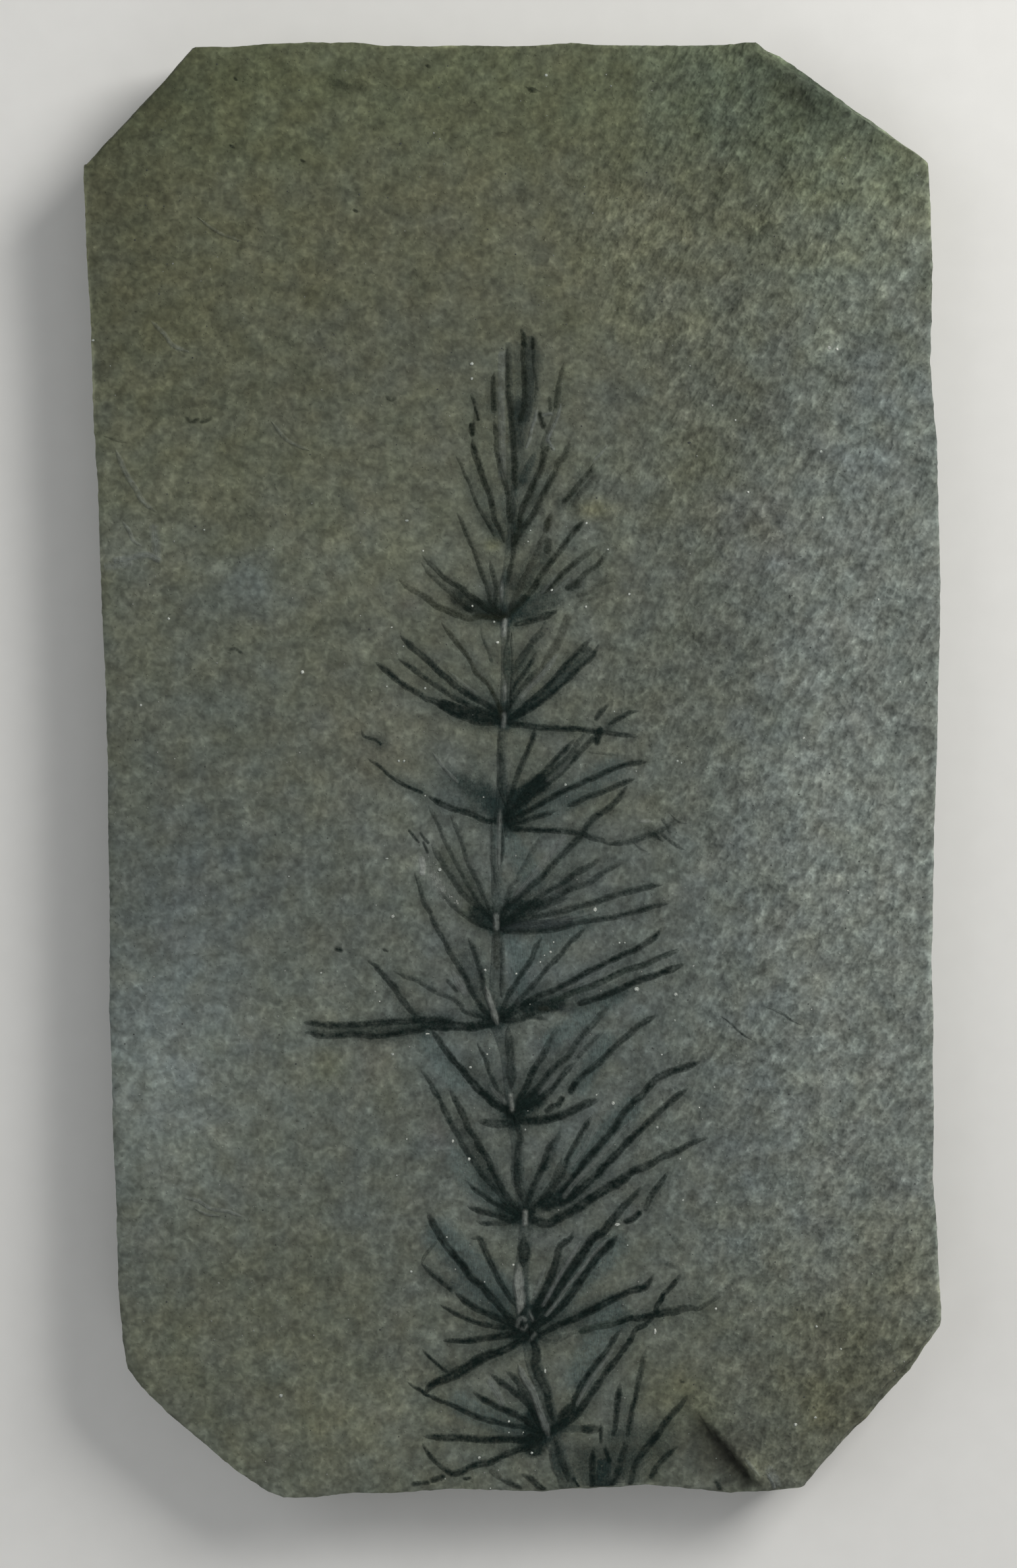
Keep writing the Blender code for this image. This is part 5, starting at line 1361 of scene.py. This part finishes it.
def films(name, members):
    sizes, strips = [], []
    for rank, s in enumerate(members):
        margin = max(1.9, s["soft"] * 1.35 + 0.5)
        half = s["width"] / 2 + margin
        cols = int(np.clip(round(2 * half.max() / 2.0), 7, 28))
        line, normal = s["line"], s["normal"]
        ends = np.gradient(line, axis=0)
        ends /= np.maximum(np.hypot(*ends.T), 1e-6)[:, None]
        # more rows past each end, so that the film fades out inside its own strip
        first, final = s["width"][0] / 2 + s["soft"] * 1.25, s["width"][-1] / 2 + s["soft"] * 1.25
        more_a, more_b = max(2, int(round(first / 2.2))), max(2, int(round(final / 2.2)))
        reach_a = first * np.arange(more_a, 0, -1) / more_a
        reach_b = final * np.arange(1, more_b + 1) / more_b
        line = np.vstack([line[0] - ends[0] * reach_a[:, None], line, line[-1] + ends[-1] * reach_b[:, None]])
        normal = np.vstack([np.repeat(normal[:1], more_a, 0), normal, np.repeat(normal[-1:], more_b, 0)])
        half = np.concatenate([half[0] * np.sqrt(1.08 - (reach_a / first) ** 2), half,
                               half[-1] * np.sqrt(1.08 - (reach_b / final) ** 2)])
        solid = np.concatenate([s["width"][0] / 2 * np.sqrt(np.clip(1.02 - (reach_a / first) ** 2, 0.02, 1)), s["width"] / 2,
                                s["width"][-1] / 2 * np.sqrt(np.clip(1.02 - (reach_b / final) ** 2, 0.02, 1))])
        t = np.linspace(-1, 1, cols)
        # a strip that turns tightly may not fold over itself on the inner side
        gx_, gy_ = np.gradient(line[:, 0]), np.gradient(line[:, 1])
        speed = np.hypot(gx_, gy_)
        bend = (gx_ * np.gradient(gy_) - gy_ * np.gradient(gx_)) / np.maximum(speed, 1e-6) ** 3
        room = 0.8 / np.maximum(np.abs(bend), 1e-6)
        half_in = np.minimum(half, room)
        lateral = half[:, None] * t[None, :]
        limited = np.clip(lateral, -half_in[:, None], half_in[:, None])
        lateral = np.where((np.sign(lateral) == np.sign(bend)[:, None]), limited, lateral)
        spread_in = np.linspace(0, 1e-3, cols)[None, :]
        lateral = lateral + spread_in
        at = np.concatenate([-reach_a, s["at"], s["at"][-1] + reach_b])
        pts = line[:, None, :] + normal[:, None, :] * lateral[:, :, None]
        if edge_distance(line[:, 0], line[:, 1]).min() < half.max() + 6.0:
            pts = kept_on(pts)
        strips.append((rank, s, pts, lateral, solid, at, cols, margin))
        sizes.append((max(4.0, at[-1] - at[0]), max(4.0, 2 * half.max() + 2.5)))
    all_pts = np.vstack([p[2].reshape(-1, 2) for p in strips])
    inside = edge_distance(all_pts[:, 0], all_pts[:, 1])
    ground = on_stone(all_pts[:, 0], all_pts[:, 1])
    rgb, cover = paint(all_pts[:, 0], all_pts[:, 1])
    scale, spots = packed(sizes)
    V, F, UV, C, T, H, B = [], [], [], [], [], [], []
    at0, vbase = 0, 0
    for k, (rank, s, pts, lateral, solid, at, cols, margin) in enumerate(strips):
        n = len(pts)
        z = ground[at0:at0 + n * cols].reshape(n, cols)
        e = inside[at0:at0 + n * cols].reshape(n, cols)
        sl = slice(at0, at0 + n * cols)
        at0 += n * cols
        u = lateral / np.maximum(solid[:, None], 0.3)
        body = ramp(1.35, 0.85, np.abs(u))
        ends = np.clip(np.minimum(np.arange(n), n - 1 - np.arange(n)) / 3.0, 0, 1)[:, None]
        if s["name"] in ("pale", "white", "pink"):
            rise = 0.016 * np.sqrt(np.clip(1 - u * u, 0, 1))
            lift = 0.030
        elif s["soft"] > 2.6:
            rise, lift = 0.0 * u, 0.018
            if s["group"] == "stem":
                rise = 0.10 * np.sqrt(np.clip(1 - u * u, 0, 1)) + 0.016 * np.sin(u * 9.0)
        else:
            rise = 0.052 * np.sqrt(np.clip(1 - u * u, 0, 1)) - 0.022 * np.exp(-(u / 0.22) ** 2)
            rise = rise + 0.010 * wave(at[:, None] / 11.0 + 0 * u, u * 1.3 + rank * 7.1, 65)
            lift = 0.022
        if s["group"] == "stem" and s["soft"] <= 2.6:
            lift += 0.085
        lift += 0.0016 * rank
        top = z + 0.001 * ((lift + rise) * body * ends + (-0.014) * (1 - body * ends))
        px_, py_ = place(pts[:, :, 0], pts[:, :, 1])
        grid = np.stack([px_, py_, top], 2).reshape(-1, 3)
        low = np.stack([np.stack([px_[:, 0], py_[:, 0], z[:, 0] - 0.00016], 1),
                        np.stack([px_[:, -1], py_[:, -1], z[:, -1] - 0.00016], 1)], 1).reshape(-1, 3)
        V.append(grid)
        V.append(low)
        x0, y0 = spots[k]
        long_, high_ = sizes[k]
        uu = (x0 + (at - at[0])) * scale
        half_max = (high_ - 2.5) / 2
        vv = (y0 + half_max + lateral) * scale
        cut = (y0 + high_ - 1.3) * scale
        cut2 = (y0 + high_ - 0.3) * scale
        tops = np.arange(n * cols).reshape(n, cols) + vbase
        lows = np.arange(n * 2).reshape(n, 2) + vbase + n * cols
        for i in range(n - 1):
            for j in range(cols - 1):
                F.append((tops[i, j], tops[i, j + 1], tops[i + 1, j + 1], tops[i + 1, j]))
                UV += [(uu[i], vv[i, j]), (uu[i], vv[i, j + 1]), (uu[i + 1], vv[i + 1, j + 1]), (uu[i + 1], vv[i + 1, j])]
            F.append((lows[i, 1], lows[i, 0], lows[i + 1, 0], lows[i + 1, 1]))
            UV += [(uu[i], cut2), (uu[i], cut), (uu[i + 1], cut), (uu[i + 1], cut2)]
            F.append((tops[i, 0], tops[i + 1, 0], lows[i + 1, 0], lows[i, 0]))
            UV += [(uu[i], cut), (uu[i + 1], cut), (uu[i + 1], cut2), (uu[i], cut2)]
            F.append((tops[i + 1, -1], tops[i, -1], lows[i, 1], lows[i + 1, 1]))
            UV += [(uu[i + 1], cut), (uu[i], cut), (uu[i], cut2), (uu[i + 1], cut2)]
        for i, ring in ((0, tops[0]), (n - 1, tops[n - 1])):
            cap = list(ring) + [lows[i, 1], lows[i, 0]]
            uc = [(uu[i] + (0.2 if i else -0.2) * scale, vv[i, j]) for j in range(cols)]
            uc += [(uu[i] + (1.2 if i else -1.2) * scale, vv[i, -1]), (uu[i] + (1.2 if i else -1.2) * scale, vv[i, 0])]
            if i == 0:
                cap, uc = cap[::-1], uc[::-1]
            F.append(tuple(cap))
            UV += uc
        cov = cover[sl] * ramp(0.0, 1.5, e.ravel())
        colour = np.hstack([rgb[sl], cov[:, None]])
        C.append(colour)
        low_index = np.stack([np.arange(n) * cols, np.arange(n) * cols + cols - 1], 1).ravel()
        C.append(colour[low_index])
        flat_pts = pts.reshape(-1, 2)
        T.append(flat_pts)
        T.append(flat_pts[low_index])
        H.append(np.maximum(e.ravel(), 0))
        H.append(np.maximum(e.ravel(), 0)[low_index])
        seed = 37.0 * s["index"]
        bl = np.stack([lateral.ravel() + seed, np.repeat(at, cols) + 11.0 * seed, np.zeros(n * cols)], 1)
        B.append(bl)
        B.append(bl[low_index])
        vbase += n * cols + n * 2
    V = np.vstack(V)
    # faces wound by the strip's direction are turned so that the films face up
    f0 = F[0]
    up = np.cross(V[f0[1]] - V[f0[0]], V[f0[3]] - V[f0[0]])[2] > 0
    if not up:
        turned, at_ = [], 0
        flipped = []
        for f in F:
            turned.append(tuple(f[::-1]))
            flipped += UV[at_:at_ + len(f)][::-1]
            at_ += len(f)
        F, UV = turned, flipped
    ob = make(name, V, [tuple(int(i) for i in f) for f in F], UV, SHALE, smooth=math.radians(70.0))
    T, H, B, C = np.vstack(T), np.concatenate(H), np.vstack(B), np.vstack(C)
    colour_layer(ob, "tone", np.hstack([tone(T[:, 0], T[:, 1], H), np.ones((len(T), 1))]))
    colour_layer(ob, "film", C)
    number_layer(ob, "hackly", roughness_of(T[:, 0], T[:, 1]))
    number_layer(ob, "broken", np.zeros(len(T)))
    vector_layer(ob, "blade", B)
    return ob


NAMES = {"stem": "stem_film", "tuft": "leaf_tuft", "cluster": "leaf_cluster", "marks": "surface_marks_and_highlights"}
sharp = [s for s in lines if s["soft"] < 3.5]
for g in dict.fromkeys(s["group"] for s in sharp):
    films(NAMES.get(g, "leaf_" + g), [s for s in sharp if s["group"] == g])


# ------------------------------------------------------------------ the soft stain round the branch
def stains(pitch, bands):
    """Thin closed sheets on the stone wherever the soft strokes leave any cover."""
    soft = [s for s in lines if s["soft"] >= 3.5]
    low = np.min([s["line"].min(0) - s["width"].max() - 20 for s in soft], 0)
    high = np.max([s["line"].max(0) + s["width"].max() + 20 for s in soft], 0)
    nx_, ny_ = int((high[0] - low[0]) / pitch), int((high[1] - low[1]) / pitch)
    ax, ay = low[0] + pitch * np.arange(nx_ + 1), low[1] + pitch * np.arange(ny_ + 1)
    wx, wy = np.meshgrid(ax, ay)
    jog = 0.34 * pitch
    wx = wx + jog * wave(wx / 9.0, wy / 9.0, 77)
    wy = wy + jog * wave(wx / 9.0, wy / 9.0, 79)
    fx_, fy_ = wx.ravel(), wy.ravel()
    rgb, cover = paint(fx_, fy_, soft_only=True)
    e = edge_distance(fx_, fy_)
    cover = cover * ramp(0.5, 3.0, e)
    cover_grid = cover.reshape(wx.shape)
    some = cover_grid > 0.006
    for _ in range(2):
        grown = some.copy()
        grown[1:] |= some[:-1]
        grown[:-1] |= some[1:]
        grown[:, 1:] |= some[:, :-1]
        grown[:, :-1] |= some[:, 1:]
        some = grown
    some &= (e > 3.0).reshape(wx.shape)
    cell = some[:-1, :-1] & some[1:, :-1] & some[:-1, 1:] & some[1:, 1:]
    cuts = [0] + [int((c - low[1]) / pitch) for c in bands] + [ny_]
    for piece in range(len(cuts) - 1):
        part = np.zeros_like(cell)
        part[cuts[piece]:cuts[piece + 1]] = cell[cuts[piece]:cuts[piece + 1]]
        rows_, cols_ = np.nonzero(part)
        if not len(rows_):
            continue
        used = np.zeros(wx.shape, bool)
        for dr in (0, 1):
            for dc in (0, 1):
                used[rows_ + dr, cols_ + dc] = True
        index = np.full(wx.shape, -1)
        index[used] = np.arange(used.sum())
        n = int(used.sum())
        X, Y = wx[used], wy[used]
        g = on_stone(X, Y)
        c = cover_grid[used]
        z = g + 0.001 * (-0.012 + 0.022 * ramp(0.0, 0.012, c))
        sx, sy = place(X, Y)
        V = np.vstack([np.stack([sx, sy, z], 1), np.stack([sx, sy, g - 0.00012], 1)])
        size = 1.0 / max(X.max() - X.min() + 4, (Y.max() - Y.min() + 4) / 0.86)
        x0, y0 = X.min() - 2, Y.min() - 2
        F, UV = [], []

        def uv(i, under):
            u_, v_ = (X[i] - x0) * size, (Y[i] - y0) * size
            return (u_, 0.872 + v_ * 0.14) if under else (u_, v_)

        for r_, c_ in zip(rows_, cols_):
            a, b, c2, d = index[r_, c_], index[r_, c_ + 1], index[r_ + 1, c_ + 1], index[r_ + 1, c_]
            F.append((a, d, c2, b))
            UV += [uv(a, 0), uv(d, 0), uv(c2, 0), uv(b, 0)]
            F.append((a + n, b + n, c2 + n, d + n))
            UV += [uv(a, 1), uv(b, 1), uv(c2, 1), uv(d, 1)]
            for dr, dc, p, q in ((-1, 0, a, b), (0, 1, b, c2), (1, 0, c2, d), (0, -1, d, a)):
                rr, cc = r_ + dr, c_ + dc
                if not (0 <= rr < part.shape[0] and 0 <= cc < part.shape[1]) or not part[rr, cc]:
                    F.append((p, q, q + n, p + n))
                    up, uq = uv(p, 1), uv(q, 1)
                    UV += [up, uq, (uq[0], uq[1] + 0.0012), (up[0], up[1] + 0.0012)]
        ob = make("shade_film_%d" % (piece + 1), V, [tuple(int(i) for i in f) for f in F], UV, SHALE, smooth=math.radians(70.0))
        T, H = np.stack([X, Y], 1), np.maximum(edge_distance(X, Y), 0)
        both = lambda v: np.concatenate([v, v])
        T, H = both(T), both(H)
        colour_layer(ob, "tone", np.hstack([tone(T[:, 0], T[:, 1], H), np.ones((len(T), 1))]))
        colour_layer(ob, "film", both(np.hstack([rgb.reshape(wx.shape + (3,))[used], c[:, None]])))
        number_layer(ob, "hackly", roughness_of(T[:, 0], T[:, 1]))
        number_layer(ob, "broken", np.zeros(len(T)))
        vector_layer(ob, "blade", np.stack([T[:, 0], T[:, 1], 0 * T[:, 0]], 1))


stains(3.9, (930, 1370, 1810))

# ------------------------------------------------------------------ mineral grains and specks, the pale grains partly painted glints of mica
# x, y, half width, half height
BRIGHT = [
    (829, 114, 3.4, 3.4), (716, 552, 4, 4), (716, 575, 3, 3), (141, 516, 3, 3), (617, 790, 4.5, 3), (642, 836, 2.5, 2.5),
    (717, 920, 2.5, 2.5), (837, 896, 3, 3), (890, 794, 3, 3), (922, 834, 2.5, 2.5), (889, 921, 3, 3), (955, 902, 3, 3),
    (755, 975, 4, 4), (750, 944, 3, 3), (612, 981, 2, 2), (594, 952, 2, 2), (645, 1045, 3, 3), (587, 1042, 2.2, 2.2),
    (805, 805, 2, 2), (801, 822, 2, 2), (932, 1080, 2.2, 2.2), (605, 1155, 3, 3), (613, 1155, 3, 3), (645, 1208, 2, 2),
    (587, 1303, 4, 1.6), (667, 1320, 4, 4), (596, 1391, 4, 4), (903, 1381, 5, 5), (1028, 1155, 2.4, 2.4),
    (1034, 1158, 2.2, 2.2), (858, 1191, 3, 3), (835, 1445, 3, 3), (826, 1450, 2, 2), (820, 1460, 2, 2), (840, 1430, 2, 2),
    (940, 1431, 2.4, 2.4), (948, 1431, 2, 2), (783, 1478, 2.4, 2.4), (966, 1501, 6, 5), (1025, 1509, 4, 4),
    (1052, 1466, 2.2, 2.2), (1024, 1549, 2.4, 2.4), (736, 1472, 3, 3), (569, 1505, 2.2, 2.2), (576, 1520, 2, 2),
    (487, 1477, 2.4, 2.4), (649, 1569, 5, 2), (596, 1600, 3, 3), (739, 1600, 2.2, 2.2), (714, 1620, 4, 3),
    (807, 1630, 2, 2), (1004, 1601, 2.4, 2.4), (930, 1675, 4, 4), (962, 1677, 2.2, 2.2), (905, 1662, 2.2, 2.2),
    (1084, 1650, 2, 2), (1061, 1681, 2, 2), (797, 1715, 2.4, 2.4), (997, 1711, 3, 3), (617, 1729, 2.2, 2.2),
    (602, 1784, 2, 2), (687, 1732, 2.5, 4), (712, 1759, 4, 4), (1032, 1759, 2.4, 2.4), (1036, 1822, 2.2, 2.2),
    (1087, 1825, 2.2, 2.2), (797, 1847, 2.6, 2.6), (937, 1859, 6, 3.5), (678, 1878, 2, 2), (779, 1920, 3, 3),
    (735, 1946, 2, 2), (624, 1930, 3, 3), (952, 1890, 2, 2), (1086, 1987, 3, 3), (994, 2022, 2.5, 8), (827, 2081, 2.5, 7),
    (427, 2118, 4, 4), (1239, 2014, 3, 3), (1276, 2048, 2.4, 2.4), (1207, 2162, 4, 4), (1237, 2152, 3, 3),
    (807, 2205, 3, 3), (727, 2212, 4, 4), (772, 2157, 3, 3), (772, 2174, 2.2, 2.2), (794, 2174, 2, 2), (744, 2259, 2, 2),
    (675, 2244, 2, 2), (310, 804, 2, 2), (459, 1020, 4, 4), (256, 939, 3, 3), (214, 1070, 3, 3), (1245, 686, 3.4, 3.4),
    (1135, 747, 3, 3), (1248, 786, 2.4, 2.4), (1333, 910, 2.6, 2.6), (1116, 638, 2.4, 2.4), (1366, 1035, 2.4, 2.4),
    (1258, 528, 4, 4), (1270, 530, 3.6, 3.6), (1219, 1120, 3, 3),
]


def crystals(name, spots, material, flatness, sides, seed):
    """Small irregular grains set half into the stone."""
    V, F, UV = [], [], []
    spots = np.array(spots, float)
    ground = on_stone(spots[:, 0], spots[:, 1])
    cells = int(math.ceil(math.sqrt(len(spots))))
    for k, (x, y, rx, ry) in enumerate(spots):
        r = lattice(np.arange(40) + k * 41, np.zeros(40), seed)
        turn = r[0] * math.pi * 2 if rx == ry else 0.0
        b = len(V)
        cx, cy = place(x, y)
        z = ground[k]
        high = flatness * min(rx, ry) * UNIT
        tilt = ((r[1] - .5) * 0.5, (r[2] - .5) * 0.5)
        # ring at the stone, a smaller ring above it, a top point and a buried point
        for level, share_, lift in ((0, 1.0, -0.25), (1, 0.62, 0.75)):
            for i in range(sides):
                a = turn + 2 * math.pi * (i + 0.3 * (r[3 + i] - .5)) / sides
                g = share_ * (0.82 + 0.36 * r[10 + i + level * sides])
                dx, dy = rx * g * math.cos(a) * UNIT, ry * g * math.sin(a) * UNIT
                V.append((cx + dx, cy + dy, z + high * lift + dx * tilt[0] + dy * tilt[1]))
        V.append((cx + tilt[0] * rx * UNIT, cy, z + high * (0.95 + 0.2 * r[30])))
        V.append((cx, cy, z - high * 1.2))
        u0, v0 = (k % cells + 0.5) / cells, (k // cells + 0.5) / cells

        def uv(i, level):
            a = 2 * math.pi * i / sides
            q = (0.42, 0.22, 0.0, 0.48)[level] / cells
            return u0 + q * math.cos(a), v0 + q * math.sin(a)

        for i in range(sides):
            j = (i + 1) % sides
            F.append((b + i, b + j, b + sides + j, b + sides + i))
            UV += [uv(i, 0), uv(j, 0), uv(j, 1), uv(i, 1)] if j else [uv(i, 0), uv(sides, 0), uv(sides, 1), uv(i, 1)]
            F.append((b + sides + i, b + sides + j, b + 2 * sides))
            UV += [uv(i, 1), uv(j, 1), (u0, v0)]
            F.append((b + j, b + i, b + 2 * sides + 1))
            UV += [uv(j, 0), uv(i, 0), uv(i + 0.5, 3)]
    ob = make(name, V, F, UV, material, smooth=math.radians(20.0))
    return ob


extra = []
r = lattice(np.arange(6000), np.full(6000, 7), 131)
for i in range(1100):
    x, y = 126 + r[3 * i] * 1302, 63 + r[3 * i + 1] * 2211
    # more of them on the lower half and to the right, as the stone is coarser there
    want = 0.16 + 0.40 * float(ramp(700., 1500., np.array(y))) + 0.22 * float(ramp(900., 1300., np.array(x)))
    if lattice(np.array(i), np.array(3), 133) < want:
        extra.append((x, y, 0.8 + 1.0 * float(lattice(np.array(i), np.array(5), 135)) ** 2, 0.0))
extra = np.array(extra)
inside = edge_distance(extra[:, 0], extra[:, 1]) > 10
extra = [(x, y, s, s) for x, y, s, _ in extra[inside]]
# a patch of close pale grains left of the sixth whorl
for i in range(44):
    a, b = (float(lattice(np.array(i), np.array(n), 171)) for n in (3, 5))
    extra.append((640.0 + 30.0 * a + 28.0 * b, 1298.0 + 82.0 * b, 1.0 + 0.9 * a * b, 1.0 + 0.9 * a * b))
# the pale grains below are mineral grains whose brightness partly stands in for mica glints, a painted glint
crystals("mica_grains_and_glints", [(x, y, 0.78 * a, 0.78 * b) for x, y, a, b in BRIGHT], CRYSTAL, 0.55, 6, 137)
crystals("dull_grains", extra, GRAIN, 0.55, 5, 137)

DARK = [(358, 120, 2, 1.6), (352, 222, 2, 2), (608, 218, 2.4, 1.8), (460, 244, 1.8, 1.8), (540, 320, 2, 1.6), (514, 1441, 3, 2),
        (585, 1442, 2, 2), (650, 100, 1.8, 1.8), (1035, 2097, 2, 2), (1045, 672, 4, 1.8), (1198, 906, 2, 4), (560, 955, 2, 2),
        (704, 1756, 1.6, 1.6), (718, 1766, 1.6, 1.6), (706, 1766, 1.5, 1.5), (804, 1839, 3, 3)]
dark = []
for i in range(520):
    j = 3600 + 3 * i
    x, y = 126 + r[j % 6000] * 1302, 63 + r[(j * 7 + 1) % 6000] * 2211
    dark.append((x, y, 0.8 + 0.9 * float(lattice(np.array(i), np.array(9), 139)) ** 2))
dark = np.array(dark)
inside = edge_distance(dark[:, 0], dark[:, 1]) > 10
crystals("dark_specks", DARK + [(x, y, s, s) for x, y, s in dark[inside]], SOOT, 0.35, 5, 141)

# ------------------------------------------------------------------ floor, light, camera
me = bpy.data.meshes.new("floor")
edge = 1.6
me.from_pydata([(-edge, -edge, 0), (edge, -edge, 0), (edge, edge, 0), (-edge, edge, 0)], [], [(0, 1, 2, 3)])
floor = bpy.data.objects.new("floor", me)
scene.collection.objects.link(floor)
paper = Tree("floor_paper")
cm = paper.vector("SCALE", node(paper.t, "ShaderNodeTexCoord").outputs["Object"], 100.0)
paper.put(paper.shader.inputs["Base Color"],
          paper.mix("MIX", paper.noise(cm, 3.0, 4.0), (0.66, 0.655, 0.64, 1), (0.70, 0.695, 0.68, 1)))
paper.shader.inputs["Roughness"].default_value = 0.85
me.materials.append(paper.material)


def lamp(name, where, aim, size, power, colour):
    data = bpy.data.lights.new(name, "AREA")
    data.shape = "RECTANGLE"
    data.size, data.size_y = size
    data.energy = power
    data.color = colour
    ob = bpy.data.objects.new(name, data)
    ob.location = where
    ob.rotation_euler = (Vector(aim) - Vector(where)).to_track_quat("-Z", "Y").to_euler()
    scene.collection.objects.link(ob)
    return ob


lamp("key", (0.34, 0.26, 0.30), (0.01, 0.0, 0.005), (0.26, 0.26), 2.7, (1.0, 0.985, 0.95))
lamp("fill", (-0.42, 0.10, 0.42), (0.0, 0.0, 0.005), (0.5, 0.5), 0.85, (0.97, 0.99, 1.0))
lamp("front", (0.05, -0.50, 0.42), (0.0, 0.0, 0.005), (0.5, 0.4), 0.7, (0.99, 0.995, 1.0))

world = scene.world or bpy.data.worlds.new("studio")
scene.world = world
world.use_nodes = True
back = world.node_tree.nodes["Background"]
back.inputs[0].default_value = (0.93, 0.94, 0.93, 1.0)
back.inputs[1].default_value = 0.22

scene.view_settings.view_transform = "Standard"
scene.view_settings.look = "None"

data = bpy.data.cameras.new("camera")
data.lens = 85.0
data.sensor_fit = "VERTICAL"
data.sensor_height = 36.0
data.sensor_width = 24.0
camera = bpy.data.objects.new("camera", data)
view_x, view_y = place(771.5, 1190.0)
camera.location = (view_x, view_y, THICKNESS + 0.085 * 2380 * UNIT / 0.036)
camera.rotation_euler = (0.0, 0.0, 0.0)
scene.collection.objects.link(camera)
scene.camera = camera
data.clip_start, data.clip_end = 0.01, 10.0
